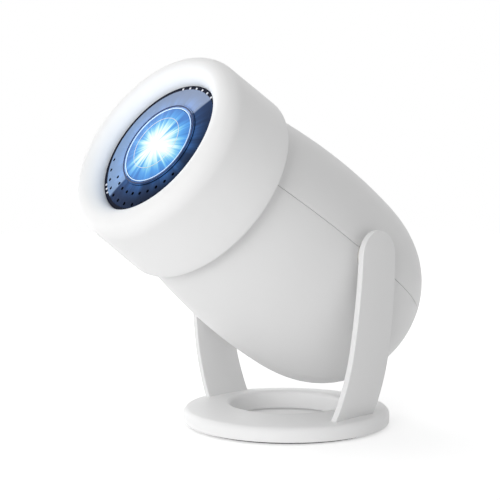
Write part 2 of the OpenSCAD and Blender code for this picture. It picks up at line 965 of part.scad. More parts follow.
module lens_trim_ring() {
    front = panel_top + trim_rise;
    color("silver")
        lens_axis()
            rotate_extrude()
                polygon([
                    [trim_in_r, panel_top - panel_t], [trim_r, panel_top - panel_t],
                    [trim_r, front - trim_wall / 2], [trim_r - trim_wall / 2, front],
                    [trim_in_r + trim_wall, front], [trim_in_r, front - trim_wall]]);
}

// Lens seat and focus drive
module ear_places() {
    both_sides()
        for (y = [-ear_y, ear_y])
            translate([ear_x, y, 0])
                children();
}

module lens_seat() {
    slot_len = 2 * (focus_travel + drive_pin_r + pin_play);
    color("dimgray")
        head()
            difference() {
                union() {
                    slab(box_w, box_h, box_front, seat_front);
                    ear_places()
                        rod(ear_r, box_front, seat_front);
                    translate([0, lens_up, 0]) {
                        rod(guide_r, box_front, guide_front);
                        rod(guide_r + collar_w, box_front, seat_front + collar_t);
                        translate([-wheel_x, 0, 0])
                            rod(axle_r + wheel_hub_w, box_front, seat_front);
                        translate([-wheel_x, -axle_r - wheel_hub_w, box_front])
                            cube([wheel_x, 2 * (axle_r + wheel_hub_w), seat_t]);
                    }
                }
                ear_places()
                    rod(m25_r + m3_clear, box_front - cut, seat_front + cut);
                translate([0, lens_up, 0]) {
                    rod(guide_bore_r, box_front - cut, guide_front + cut);
                    translate([-drive_pin_r - pin_play / 2, 0, pin_s - slot_len / 2])
                        cube([2 * drive_pin_r + pin_play, cam_r, slot_len]);
                    translate([-wheel_x, 0, 0])
                        rod(axle_r, box_front - cut, seat_front + cut);
                }
            }
}

module seat_screws() {
    color("silver")
        head()
            ear_places()
                translate([0, 0, seat_front])
                    screw(m25_r, seat_t + screw_bite, m25_head_r, m25_head_h);
}

module focus_axle() {
    color("silver")
        lens_axis()
            translate([-wheel_x, 0, 0])
                rod(axle_r, box_front, axle_end);
}

module focus_clip() {
    color("silver")
        lens_axis()
            translate([-wheel_x, 0, 0])
                tube(axle_r + clip_w, axle_r, axle_end - axle_tip - clip_t, axle_end - axle_tip);
}

module focus_retainer() {
    color("silver")
        lens_axis()
            tube(cam_r - retainer_in, guide_r, retainer_s, retainer_s + retainer_t);
}

function involute(a) = tan(a) - a * PI / 180;
function half_tooth(r, n) = let (
    pitch_r = gear_m * n / 2,
    base_r_n = pitch_r * cos(pressure),
    lean = r > base_r_n ? acos(base_r_n / r) : 0)
    90 / n + (involute(pressure) - involute(lean) - backlash / 4 / pitch_r) * 180 / PI;
function gear_radii(n) = let (pitch_r = gear_m * n / 2, base_n = pitch_r * cos(pressure))
    let (root = pitch_r - dedendum * gear_m, tip = pitch_r + addendum * gear_m)
    [root, max(base_n, root + gear_m / 3), pitch_r, (pitch_r + tip) / 2, tip];
function gear_points(n) = [for (i = [0 : n - 1])
    for (p = concat(
        [for (r = gear_radii(n)) [r, -half_tooth(r, n)]],
        [for (r = flip(gear_radii(n))) [r, half_tooth(r, n)]]))
        let (turn = i * 360 / n + p[1])
        [p[0] * cos(turn), p[0] * sin(turn)]];

module focus_wheel() {
    color("dimgray")
        lens_axis()
            translate([-wheel_x, 0, wheel_s])
                difference() {
                    union() {
                        rotate([0, 0, 180 / wheel_teeth])
                            linear_extrude(height = wheel_w)
                                polygon(gear_points(wheel_teeth));
                        rod(axle_r + wheel_hub_w, -collar_t, eps);
                    }
                    rod(axle_r + ring_play, -collar_t - cut, wheel_w + cut);
                }
}

module focus_ring() {
    color("gray")
        lens_axis()
            difference() {
                union() {
                    translate([0, 0, gear_s])
                        linear_extrude(height = gear_w)
                            polygon(gear_points(ring_teeth));
                    rod(cam_r, cam_s - eps, cam_s + cam_len);
                }
                rod(cam_in_r, gear_s - cut, cam_s + cam_len + cut);
                for (turn = [-focus_turn : cam_step : focus_turn])
                    rotate([0, 0, turn])
                        translate([0, 0, pin_s - focus_travel * turn / focus_turn])
                            rotate([-90, 0, 0])
                                cylinder(r = drive_pin_r + pin_play, h = cam_r + cut, $fn = cam_facets);
            }
}

module lens_tube() {
    color([0.12, 0.12, 0.13])
        lens_axis()
            difference() {
                union() {
                    rod(tube_r, tube_back, tube_shoulder_s);
                    rod(nose_r, tube_back, nose_front);
                    translate([0, 0, pin_s])
                        rotate([-90, 0, 0])
                            translate([0, 0, tube_r - tube_wall / 2])
                                cylinder(r = drive_pin_r, h = cam_r - tube_r + tube_wall / 2 - pin_play);
                }
                rod(tube_r - tube_wall, tube_back - cut, tube_shoulder_s - tube_wall);
                rod(nose_r - nose_wall, tube_back - cut, nose_front + cut);
            }
}

module front_lens() {
    color([0.4, 0.6, 0.9])
        lens_axis()
            translate([0, 0, front_lens_back])
                convex(front_lens_r, front_lens_edge, front_lens_sag);
}

module lens_retainer() {
    front = front_lens_back + front_lens_edge + front_lens_sag / 4;
    color("black")
        lens_axis()
            tube(nose_r - nose_wall - lens_seat_gap, front_lens_r - lens_ledge_w, front, front + lens_retainer_t);
}

module double_convex(s) {
    translate([0, 0, s])
        convex(inner_lens_r, inner_lens_edge, inner_lens_sag);
    translate([0, 0, s + eps])
        mirror([0, 0, 1])
            convex(inner_lens_r, eps, inner_lens_sag);
}

module middle_lens() {
    color([0.5, 0.7, 0.9])
        lens_axis()
            double_convex(mid_lens_s);
}

module rear_lens() {
    color([0.5, 0.7, 0.9])
        lens_axis()
            double_convex(rear_lens_s);
}

// Light engine
module engine_box() {
    color("darkgray")
        head()
            difference() {
                union() {
                    slab(box_w, box_h, -box_back, box_front);
                    ear_places()
                        rod(ear_r, box_front - ear_len, box_front);
                    both_sides()
                        for (s = lug_s)
                            translate([box_w / 2 - lug_root, lug_y, s - lug_w / 2])
                                cube([lug_w + lug_root, lug_t, lug_w]);
                }
                slab(box_w - 2 * box_wall, box_h - 2 * box_wall, -box_back - cut, box_front + cut);
                ear_places()
                    rod(m25_r, box_front - screw_bite - cut, box_front + cut);
                engine_post_places()
                    rotate([-90, 0, 0])
                        rod(m25_r + m3_clear, -cut, lug_t + cut);
            }
}

module engine_screws() {
    color("silver")
        head()
            engine_post_places()
                translate([0, lug_t, 0])
                    rotate([-90, 0, 0])
                        screw(m25_r, lug_t + engine_bite, m25_head_r, m25_head_h);
}

module optic(s, t) {
    head()
        slab(optic_w, optic_h, s, s + t);
}

module fresnel_front() {
    color([0.8, 0.9, 1])
        optic(fresnel_front_s, fresnel_t);
}

module picture_panel() {
    color([0.2, 0.25, 0.3])
        optic(picture_s, picture_t);
}

module fresnel_rear() {
    color([0.8, 0.9, 1])
        optic(fresnel_rear_s, fresnel_t);
}

module heat_glass() {
    color([0.7, 0.9, 0.8])
        optic(heat_glass_s, heat_glass_t);
}

module condenser_lens() {
    color([0.85, 0.95, 1]) {
        optic(condenser_s, condenser_flange_t);
        head()
            translate([0, 0, condenser_s + condenser_flange_t - eps])
                convex(condenser_r, eps, condenser_sag);
    }
}

module led_board() {
    led_s = -box_back + pedestal_h;
    color("ivory")
        head() {
            slab(led_w, led_w, led_s, led_s + board_t);
            slab(led_chip_w, led_chip_w, led_s + board_t - eps, led_s + board_t + led_chip_t);
        }
}

module heat_sink() {
    color("silver")
        head() {
            slab(sink_w, box_h, fin_s, -box_back);
            slab(led_w, led_w, -box_back - eps, -box_back + pedestal_h);
            for (i = [0 : fin_count - 1])
                translate([(i - (fin_count - 1) / 2) * fin_pitch, 0, 0])
                    slab(fin_t, box_h, fan_s, fin_s + eps);
        }
}

module fan_hole_places() {
    for (x = [-fan_hole, fan_hole])
        for (y = [-fan_hole, fan_hole])
            translate([x, y, fan_s - fan_d])
                children();
}

module fan_frame() {
    color([0.15, 0.15, 0.16])
        head()
            difference() {
                union() {
                    difference() {
                        slab(fan_w, fan_w, fan_s - fan_d, fan_s);
                        rod(duct_r, fan_s - fan_d - cut, fan_s + cut);
                    }
                    rod(hub_r, fan_s - fan_d, fan_s - fan_d + strut_t);
                    rod(fan_shaft_r, fan_s - fan_d, fan_s - 2 * rotor_gap);
                    for (turn = [0, 120, 240])
                        rotate([0, 0, turn])
                            translate([hub_r / 2, -strut_w / 2, fan_s - fan_d])
                                cube([duct_r + strut_root - hub_r / 2, strut_w, strut_t]);
                }
                fan_hole_places()
                    rod(m3_r + m3_clear, -cut, fan_d + cut);
            }
}

module fan_rotor() {
    rotor_back = fan_s - fan_d + strut_t + rotor_gap;
    rotor_front = fan_s - rotor_gap;
    blade_r = duct_r - rotor_gap;
    color([0.2, 0.2, 0.22])
        head()
            difference() {
                union() {
                    rod(hub_r, rotor_back, rotor_front);
                    intersection() {
                        rod(blade_r, rotor_back, rotor_front);
                        for (i = [0 : blade_count - 1])
                            rotate([0, 0, i * 360 / blade_count])
                                translate([0, 0, (rotor_back + rotor_front) / 2])
                                    rotate([blade_pitch, 0, 0])
                                        translate([hub_r - strut_root, -blade_chord / 2, -strut_t / 2])
                                            cube([blade_r, blade_chord, strut_t]);
                    }
                }
                rod(fan_shaft_r + fan_shaft_play, rotor_back - cut, fan_s - rotor_gap - hub_floor);
            }
}

module fan_screws() {
    color("silver")
        head()
            fan_hole_places()
                rotate([180, 0, 0])
                    screw(m3_r, fan_d + screw_bite, m3_head_r, m3_head_h);
}

// Boards and speaker
module standoff_places() {
    for (x = [-standoff_x, standoff_x])
        for (s = standoff_s)
            translate([x, 0, s])
                rotate([-90, 0, 0])
                    children();
}

module board_standoffs() {
    color("goldenrod")
        head()
            standoff_places() {
                rod(standoff_r, box_h / 2, main_y);
                rod(standoff_r, -main_y, -box_h / 2);
            }
}

module main_board() {
    color("darkgreen")
        head() {
            translate([-board_w / 2, main_y, board_s])
                cube([board_w, board_t, board_len]);
            translate([-chip_w / 2, main_y + board_t - eps, board_s + board_len / 2])
                cube([chip_w, chip_t, chip_w]);
            translate([-memory_x - memory_w, main_y + board_t - eps, board_s + chip_s])
                cube([memory_w, memory_t, memory_len]);
            translate([plug_x, main_y + board_t - eps, board_s + chip_s])
                cube([plug_w, plug_t, plug_len]);
        }
}

module power_board() {
    color("olive")
        head() {
            translate([-board_w / 2, -main_y - board_t, board_s])
                cube([board_w, board_t, board_len]);
            translate([-coil_w / 2, -main_y - board_t - coil_t, board_s + board_len / 2 - coil_w / 2])
                cube([coil_w, coil_t + eps, coil_len]);
            for (x = [-can_gap, 0, can_gap])
                translate([x, -main_y - board_t + eps, board_s + can_gap])
                    rotate([90, 0, 0])
                        cylinder(r = can_r, h = can_h);
        }
}

module speaker() {
    speaker_y = lens_up - guide_r - speaker_gap - speaker_h / 2;
    front = panel_back_s;
    color([0.1, 0.1, 0.1])
        head()
            translate([0, speaker_y, 0])
                difference() {
                    slab(speaker_w, speaker_h, front - speaker_d, front);
                    translate([0, 0, front - cone_t])
                        cylinder(r1 = cone_r, r2 = speaker_h / 2 - speaker_rim, h = cone_t + eps);
                }
}

// Rear panel and sockets
module port_hole(x, y, w, h) {
    translate([x, y, 0])
        slab(w + 2 * port_clear, h + 2 * port_clear, -rear_s - cut, -rear_in_s + cut);
}

module rear_panel() {
    color("whitesmoke")
        head()
            difference() {
                union() {
                    rod(rear_r, -rear_s, -rear_in_s);
                    for (x = [-io_post_x, io_post_x])
                        translate([x, port_y - io_post_drop, 0])
                            rod(io_post_r, -rear_in_s - eps, -io_s);
                    for (x = [-button_post_x, button_post_x])
                        translate([x, button_y - button_r + button_post_up, 0])
                            rod(button_post_r, -rear_in_s - eps, -button_board_s);
                }
                for (i = [0 : vent_count - 1])
                    translate([0, vent_y + i * vent_pitch, 0])
                        slab(2 * (i < vent_full_rows ? vent_reach : vent_short), vent_h, -rear_s - cut, -rear_in_s + cut);
                port_hole(hdmi_x, port_y, hdmi_w, hdmi_h);
                port_hole(usb_x, port_y, usb_w, usb_h);
                port_hole(0, inlet_y, inlet_w, inlet_h);
                translate([jack_x, port_y, 0])
                    rod(jack_nose_r + port_clear, -rear_s - cut, -rear_in_s + cut);
                translate([window_x, button_y, 0])
                    rod(window_r, -rear_s - cut, -rear_in_s + cut);
                translate([0, button_y, 0])
                    rod(button_r + button_play, -rear_s - cut, -rear_in_s + cut);
                rear_boss_places(rear_screw_turns) {
                    rod(m25_r + m3_clear, -rear_t - cut, cut);
                    rod(m25_head_r + m3_clear, -rear_t - cut, -rear_t + m25_head_h);
                }
            }
}

module rear_screws() {
    color("silver")
        head()
            rear_boss_places(rear_screw_turns)
                translate([0, 0, -rear_t + m25_head_h])
                    rotate([180, 0, 0])
                        screw(m25_r, rear_t - m25_head_h + rear_boss_len - screw_tip_gap, m25_head_r, m25_head_h - eps);
}

module io_board() {
    color("darkgreen")
        head()
            translate([-io_w / 2, io_bottom, -io_s])
                cube([io_w, io_top - io_bottom, board_t]);
}

module metal_socket(x, w, h) {
    color("silver")
        head()
            translate([x, port_y, 0]) {
                difference() {
                    slab(w, h, -rear_s, -io_s);
                    slab(w - 2 * metal_t, h - 2 * metal_t, -rear_s - cut, -io_s - socket_floor);
                }
                slab(w - 4 * metal_t - tongue_side, tongue_t, -rear_s + tongue_in, -io_s - socket_floor + eps);
            }
}

module hdmi_socket() {
    metal_socket(hdmi_x, hdmi_w, hdmi_h);
}

module usb_socket() {
    metal_socket(usb_x, usb_w, usb_h);
}

module audio_jack() {
    color("black")
        head()
            translate([jack_x, port_y, 0])
                difference() {
                    union() {
                        rod(jack_nose_r, -rear_s, -io_s);
                        slab(jack_w, jack_w, -rear_in_s + fit, -io_s);
                    }
                    rod(jack_bore_r, -rear_s - cut, -io_s - socket_floor);
                }
}

module mains_inlet() {
    color("black")
        head()
            translate([0, inlet_y, 0]) {
                difference() {
                    slab(inlet_w, inlet_h, -rear_s, -io_s);
                    for (x = [-inlet_pin_gap / 2, inlet_pin_gap / 2])
                        translate([x, 0, 0])
                            rod(inlet_lobe_r, -rear_s - cut, -rear_s + inlet_depth);
                    slab(inlet_pin_gap, inlet_lobe_r, -rear_s - cut, -rear_s + inlet_depth);
                }
                for (x = [-inlet_pin_gap / 2, inlet_pin_gap / 2])
                    translate([x, 0, 0])
                        rod(inlet_pin_r, -rear_s + inlet_pin_in, -rear_s + inlet_depth + eps);
            }
}

module infrared_window() {
    color([0.2, 0.02, 0.03])
        head()
            translate([window_x, button_y, 0])
                rod(window_r, -rear_s, -rear_in_s);
}

module power_button() {
    color("gainsboro")
        head()
            translate([0, button_y, 0]) {
                rod(button_r, -rear_s - button_proud, -rear_in_s + eps);
                rod(button_r + button_flange, -rear_in_s, -rear_in_s + button_flange_t);
            }
}

module button_board() {
    color("darkgreen")
        head()
            translate([0, button_y, 0]) {
                translate([0, -button_r + button_post_up, 0])
                    slab(button_board_w, button_board_h, -button_board_s, -button_board_s + board_t);
                slab(switch_w, switch_w, -button_board_s - switch_t, -button_board_s + eps);
            }
}

base_ring();
base_weight();
base_plate();
foot_ring();
arm_right();
arm_left();
arm_screws();
friction_washers();
wave_washers();
cap_washers();
pivot_screws();
pivot_bushes();
upper_shell();
lower_shell();
front_ring();
front_panel();
lens_trim_ring();
lens_seat();
seat_screws();
focus_axle();
focus_clip();
focus_retainer();
focus_wheel();
focus_ring();
lens_tube();
front_lens();
middle_lens();
rear_lens();
lens_retainer();
engine_box();
engine_screws();
fresnel_front();
picture_panel();
fresnel_rear();
heat_glass();
condenser_lens();
led_board();
heat_sink();
fan_frame();
fan_rotor();
fan_screws();
main_board();
power_board();
board_standoffs();
speaker();
rear_panel();
rear_screws();
io_board();
hdmi_socket();
usb_socket();
audio_jack();
mains_inlet();
infrared_window();
power_button();
button_board();
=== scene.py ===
"""Dresses a video projector on a yoke stand: satin white mouldings, a smoked front panel with a painted
reflection, and a lit lens.
"""

import json
import math

import bmesh
import bpy
from bpy.props import FloatProperty, FloatVectorProperty, IntProperty, PointerProperty
from mathutils import Matrix, Vector


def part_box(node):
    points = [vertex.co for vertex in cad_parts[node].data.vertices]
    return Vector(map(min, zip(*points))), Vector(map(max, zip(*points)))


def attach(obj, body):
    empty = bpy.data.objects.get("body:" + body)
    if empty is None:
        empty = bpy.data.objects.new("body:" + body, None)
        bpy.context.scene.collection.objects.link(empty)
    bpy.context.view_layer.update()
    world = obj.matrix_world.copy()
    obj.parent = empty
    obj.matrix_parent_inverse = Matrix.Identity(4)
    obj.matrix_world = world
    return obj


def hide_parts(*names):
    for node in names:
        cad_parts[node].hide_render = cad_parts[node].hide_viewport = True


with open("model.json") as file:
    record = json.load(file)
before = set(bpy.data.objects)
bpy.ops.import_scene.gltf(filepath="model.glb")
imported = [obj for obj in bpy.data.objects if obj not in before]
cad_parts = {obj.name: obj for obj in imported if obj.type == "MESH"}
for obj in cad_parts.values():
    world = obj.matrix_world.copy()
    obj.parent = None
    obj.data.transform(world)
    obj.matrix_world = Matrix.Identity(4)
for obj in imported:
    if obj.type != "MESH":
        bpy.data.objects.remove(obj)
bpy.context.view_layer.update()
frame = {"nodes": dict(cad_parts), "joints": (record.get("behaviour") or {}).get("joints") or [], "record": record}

bl_info = {
    "name": "Video projector dressing",
    "version": (1, 0, 0),
    "blender": (4, 5, 0),
    "location": "View3D > Sidebar > Projector",
    "description": "Builds the visible mouldings, panel and lens round the packed projector",
    "category": "Object",
}

# The head's own frame: X across, Y up and Z forward along the light, from the tilt pivot
JOINTS = {joint["name"]: joint for joint in frame["joints"]}
PIVOT = Vector(JOINTS["tilt"]["pos_m"])
ACROSS = Vector((1, 0, 0))
FORWARD = Vector(JOINTS["lens_slide"]["axis"])
UPWARD = FORWARD.cross(ACROSS)
HEAD = Matrix.Translation(PIVOT) @ Matrix((ACROSS, UPWARD, FORWARD)).transposed().to_4x4()
LENS_UP = (Vector(JOINTS["focus_turn"]["pos_m"]) - PIVOT).dot(UPWARD)
LENS = HEAD @ Matrix.Translation((0, LENS_UP, 0))

# The record's finishes
NODE_SLOT = {part["node"]: part["material_slot"] for part in frame["record"]["subparts"]}
SLOT_COLOUR = {entry["slot"]: tuple(entry["base_color"][:3]) for entry in frame["record"]["materials"]}

MERGE = 1e-7  # metres, within which two points are one
ON_PLANE = 1e-6  # metres, within which a point lies on a plane
CRISP = 35  # degrees between two faces, above which their edge is shaded sharp
NOISE_LOW, NOISE_HIGH = 0.3, 0.7  # where nearly all values of a noise lie
WHITE, BLACK = (1.0, 1.0, 1.0), (0.0, 0.0, 0.0)


def length(name, description, default):
    """A size in metres for the sidebar."""
    return FloatProperty(name=name, description=description, default=default, min=0, unit="LENGTH",
                         precision=5)


def angle(name, description, degrees):
    """An angle for the sidebar."""
    return FloatProperty(name=name, description=description, default=math.radians(degrees), subtype="ANGLE")


def shade(name, description, default):
    """A colour for the sidebar."""
    return FloatVectorProperty(name=name, description=description, default=default, min=0, max=1,
                               size=3, subtype="COLOR")


def count(name, description, default):
    """A number of like things for the sidebar."""
    return IntProperty(name=name, description=description, default=default, min=1)


class ProjectorSizes(bpy.types.PropertyGroup):
    """Sizes of the visible mouldings"""

    base_radius: length("Base radius", "Outside of the ring base", 0.055)
    base_height: length("Base height", "Top of the ring base at its outer edge", 0.0086)
    base_rise: length("Base rise", "How much higher the top is at the hole", 0.0022)
    base_hole: length("Base hole radius", "Hole through the ring base", 0.030)
    base_round: length("Base rounding", "Rounding of the base's outer edge", 0.003)
    base_wall: length("Base wall", "Wall of the hollow ring base", 0.003)
    foot_height: length("Foot height", "Gap between the base and the floor", 0.0012)
    arm_outside: length("Arm outside", "Half the width over both arms", 0.062154)
    arm_thickness: length("Arm thickness", "Thickness of an arm's strip", 0.003)
    arm_top: length("Arm top radius", "Rounding of an arm's upper end", 0.013)
    arm_foot: length("Arm foot half width", "Half the width of an arm at the base", 0.01525)
    arm_root: length("Arm root", "How deep an arm's foot sits in the base", 0.003)
    arm_bow: length("Arm bow radius", "Radius of an arm's long upper bow", 0.390)
    arm_foot_bow: length("Arm foot bow radius", "Radius of an arm's lower bow", 0.130)
    arm_knee: length("Arm knee", "How far below the top the two bows meet", 0.059)
    pad_radius: length("Pivot pad radius", "Radius of the pad between an arm and the head", 0.0088)
    body_radius: length("Body radius", "Widest radius of the head", 0.0566)
    neck_radius: length("Neck radius", "Radius of the head behind the front ring", 0.0468)
    neck_place: length("Neck place", "From the pivot to the neck's end", 0.0692)
    wide_back: length("Widest place", "How far behind the pivot the head is widest", 0.016)
    dome_back: length("Dome depth", "How far behind the pivot the dome would close", 0.080)
    dome_power: FloatProperty(name="Dome power", description="Power of the dome's curve", default=2.8, min=1)
    wall: length("Wall", "Wall of the head's shells", 0.0024)
    seam: length("Seam", "Gap between the two shells", 0.0003)
    seam_round: length("Seam rounding", "Rounding of the shells' edges at the seam", 0.00035)
    seat_radius: length("Pivot seat radius", "Radius of the flat seats for the pivot pads", 0.00946)
    seat_place: length("Pivot seat place", "From the middle to a pivot seat", 0.05505)
    wheel_room: length("Wheel room", "Room before and behind the focus wheel in its slot", 0.0009)
    rear_radius: length("Rear panel radius", "Radius of the flat rear panel", 0.0335)
    rear_rim: length("Rear rim", "Flat rim round the rear panel", 0.0025)
    ring_place: length("Ring place", "From the pivot to the front ring's rear edge", 0.0698)
    ring_front: length("Ring front", "From the pivot to the front ring's crest", 0.110)
    ring_rear_radius: length("Ring rear radius", "Radius of the front ring's rear edge", 0.0518)
    ring_radius: length("Ring radius", "Radius of the front ring at its shoulder", 0.0495)
    ring_wall: length("Ring wall", "Wall of the front ring", 0.003)
    crest_radius: length("Crest radius", "Radius of the ring's foremost circle", 0.0423)
    crest_round: length("Crest rounding", "Rounding of the ring's crest", 0.006)
    opening: length("Opening radius", "Opening of the front ring", 0.0352)
    panel_place: length("Panel place", "From the pivot to the panel's rim", 0.1016)
    panel_rise: length("Panel rise", "How far the panel stands out at the lens", 0.0009)
    hole_radius: length("Sound hole radius", "Radius of the small holes in the panel", 0.00085)
    trim_inside: length("Trim inside", "Inner radius of the trim round the lens", 0.0199)
    trim_outside: length("Trim outside", "Outer radius of the trim round the lens", 0.0223)
    trim_rise: length("Trim rise", "How far the trim stands out of the panel", 0.0007)
    lens_radius: length("Lens radius", "Visible radius of the front glass", 0.0196)
    lens_place: length("Lens place", "From the pivot to the front glass's edge", 0.1033)
    lens_crown: length("Lens crown", "How far the front glass bulges", 0.0018)
    glass_ring: length("Glass ring radius", "Radius of the fine ring on the front glass", 0.0138)
    spin_steps: count("Spin steps", "Steps round a full turned shape", 160)


class ProjectorFinish(bpy.types.PropertyGroup):
    """Colours of the visible finishes"""

    shell_white: shade("Shell white", "Satin white of the head's shells and the arms", (0.785, 0.785, 0.785))
    # A lighter copy of the white plastic for the ring and the base: partly their own tone, partly painted light
    ring_lit_white: shade("Ring white", "Brighter white of the front ring and the base", (0.86, 0.86, 0.86))
    # The panel's pale side and its grey end are a painted reflection, and the lean is that reflection's edge
    panel_reflection_blue: shade("Panel, pale side", "Upper side of the smoked panel", (0.24, 0.36, 0.58))
    panel_reflection_grey: shade("Panel, pale end", "Upper end of the smoked panel's pale side", (0.27, 0.33, 0.47))
    panel_dark: shade("Panel, dark side", "Lower side of the smoked panel", (0.010, 0.021, 0.055))
    reflection_lean: angle("Panel lean", "Lean of the line between the panel's two sides", 50.5)
    # The liner's near black is painted shade in the gap round the panel
    gap_shade_black: shade("Gap black", "Liner in the gap round the panel", (0.004, 0.006, 0.018))
    tooth_white: shade("Tooth white", "Small teeth in the gap round the panel", (0.78, 0.79, 0.83))
    glow_core: shade("Glow core", "Middle of the lit lens", WHITE)
    glow_mid: shade("Glow middle", "Ring of light round the core", (0.64, 0.92, 0.95))
    glow_cyan: shade("Glow cyan", "Where the light turns from white to blue", (0.24, 0.62, 0.84))
    glow_blue: shade("Glow blue", "Blue rays of the lit lens", (0.09, 0.36, 0.80))
    glow_edge: shade("Glow edge", "Outer part of the lit lens", (0.05, 0.20, 0.56))
    glow_spill: shade("Glow spill", "Light on the panel round the lens", (0.06, 0.22, 0.62))


def sizes():
    """The scene's sizes."""
    return bpy.context.scene.projector_sizes


def finish():
    """The scene's colours."""
    return bpy.context.scene.projector_finish


# Node materials


class Wiring:
    """A node tree being wired: makes nodes, sets their values and links them."""

    def __init__(self, tree):
        self.tree = tree

    def node(self, kind, values=(), **settings):
        """A new node with its settings, values and links."""
        made = self.tree.nodes.new(kind)
        for key, value in settings.items():
            setattr(made, key, value)
        for key, value in dict(values).items():
            self.put(made.inputs[key], value)
        return made

    def put(self, socket, value):
        """Links another socket, or sets a plain value."""
        if isinstance(value, bpy.types.NodeSocket):
            self.tree.links.new(value, socket)
        else:
            socket.default_value = value

    def place(self):
        """Where a point is on its piece."""
        return self.node("ShaderNodeTexCoord").outputs["Object"]

    def noise(self, vector, scale, detail=2.0, rough=0.5):
        """Soft noise, mostly between NOISE_LOW and NOISE_HIGH."""
        values = {"Vector": vector, "Scale": scale, "Detail": detail, "Roughness": rough}
        return self.node("ShaderNodeTexNoise", values).outputs["Fac"]

    def math(self, operation, a, b=0.0, clamp=False):
        """One step of arithmetic."""
        return self.node("ShaderNodeMath", {0: a, 1: b}, operation=operation, use_clamp=clamp).outputs[0]

    def dot(self, vector, along):
        """How far a vector goes along a direction."""
        made = self.node("ShaderNodeVectorMath", {0: vector, 1: along}, operation="DOT_PRODUCT")
        return made.outputs["Value"]

    def reach(self, vector):
        """A vector's length."""
        return self.node("ShaderNodeVectorMath", {0: vector}, operation="LENGTH").outputs["Value"]

    def spread(self, value, low, high, out_low=0.0, out_high=1.0):
        """One range of values made another."""
        values = {"Value": value, "From Min": low, "From Max": high, "To Min": out_low, "To Max": out_high}
        return self.node("ShaderNodeMapRange", values).outputs["Result"]

    def ramp(self, value, stops):
        """A colour read off a row of colours."""
        made = self.node("ShaderNodeValToRGB", {"Fac": value})
        points = made.color_ramp.elements
        while len(points) < len(stops):
            points.new(1.0)
        for point, (at, colour) in zip(points, stops):
            point.position = at
            point.color = (*colour, 1.0)
        return made.outputs["Color"]

    def curve(self, value, corners):
        """A value read off straight lines between corners, from 0 to 1."""
        made = self.node("ShaderNodeFloatCurve", {"Value": value})
        points = made.mapping.curves[0].points
        for at, level in corners[1:-1]:
            points.new(at, level)
        points[0].location, points[-1].location = corners[0], corners[-1]
        for point in points:
            point.handle_type = "VECTOR"
        made.mapping.update()
        return made.outputs["Value"]

    def mix(self, factor, a, b, blend="MIX"):
        """Two colours mixed."""
        made = self.node("ShaderNodeMix", data_type="RGBA", blend_type=blend)
        factor_at, a_at, b_at, colour_at = 0, 6, 7, 2
        for index, value in ((factor_at, factor), (a_at, a), (b_at, b)):
            if not isinstance(value, (bpy.types.NodeSocket, float)):
                value = (*value[:3], 1.0)
            self.put(made.inputs[index], value)
        return made.outputs[colour_at]

    def bump(self, height, strength, distance):
        """A normal that follows a height."""
        values = {"Height": height, "Strength": strength, "Distance": distance}
        return self.node("ShaderNodeBump", values).outputs["Normal"]

    def seen(self):
        """1 on rays from the camera, a mirror or glass, and 0 on light for the object."""
        path = self.node("ShaderNodeLightPath").outputs
        direct = self.math("MAXIMUM", path["Is Camera Ray"], path["Is Glossy Ray"])
        return self.math("MAXIMUM", direct, path["Is Transmission Ray"])


class Shader(Wiring):
    """A material being wired."""

    def __init__(self, name):
        self.material = bpy.data.materials.new(name)
        self.material.use_nodes = True
        super().__init__(self.material.node_tree)
        self.surface = self.tree.nodes["Principled BSDF"]

    def set(self, **values):
        """Sets or links the surface's sockets, with _ for a space."""
        for key, value in values.items():
            self.put(self.surface.inputs[key.replace("_", " ")], value)

    def gloss(self, noise, middle, change):
        """A roughness that strays from its middle with a noise."""
        self.set(Roughness=self.spread(noise, NOISE_LOW, NOISE_HIGH, middle - change, middle + change))


def tinted(colour, factor):
    """A colour made lighter or darker."""
    return tuple(min(1.0, part * factor) for part in colour[:3])


def moulded_plastic(name, colour, roughness, grain=2600.0, grain_depth=0.05, drift=0.03, shine=0.5):
    """Moulded plastic: a fine grain, a faint drift of tone and a roughness that wanders a little."""
    made = Shader(name)
    place = made.place()
    tone = made.noise(place, scale=22.0, detail=3.0)
    made.set(Base_Color=made.mix(tone, tinted(colour, 1 - drift), tinted(colour, 1 + drift)),
             Normal=made.bump(made.noise(place, grain), grain_depth, distance=0.0001),
             Specular_IOR_Level=shine)
    made.gloss(made.noise(place, scale=160.0, detail=3.0), roughness, change=0.04)
    return made.material


def satin_white(name, colour):
    """The satin white of the large mouldings."""
    return moulded_plastic(name, colour, roughness=0.42, drift=0.008)


def bright_white(name):
    """The same white moulding made lighter for the front ring and the base: partly their own tone, partly painted
    light.
    """
    return satin_white(name, finish().ring_lit_white)


def drawn_metal(name, colour, roughness, stretch):
    """Bare metal with fine drawn lines, stretched by three factors."""
    made = Shader(name)
    lines = made.node("ShaderNodeMapping", {"Vector": made.place(), "Scale": stretch}).outputs["Vector"]
    streak = made.noise(lines, scale=40.0, detail=4.0)
    made.set(Base_Color=made.mix(streak, tinted(colour, factor=0.9), tinted(colour, factor=1.06)),
             Normal=made.bump(streak, strength=0.06, distance=0.00005), Metallic=1.0)
    made.gloss(streak, roughness, change=0.08)
    return made.material


def clear_glass(name, colour):
    """Coated optical glass with the faintest polish haze."""
    made = Shader(name)
    haze = made.noise(made.place(), scale=300.0)
    made.set(Base_Color=made.mix(haze, tinted(colour, factor=0.97), colour), IOR=1.5, Transmission_Weight=1.0)
    made.gloss(haze, middle=0.02, change=0.01)
    return made.material


def circuit_board(name, colour):
    """Coated board with copper runs that show through the green."""
    made = Shader(name)
    place = made.place()
    cells = made.node("ShaderNodeTexVoronoi", {"Vector": place, "Scale": 260.0}, distance="MANHATTAN",
                      feature="F1").outputs["Distance"]
    runs = made.spread(cells, low=0.25, high=0.4)
    made.set(Base_Color=made.mix(runs, tinted(colour, factor=1.9), colour),
             Normal=made.bump(runs, strength=0.1, distance=0.0001))
    made.gloss(made.noise(place, scale=500.0), middle=0.36, change=0.06)
    return made.material


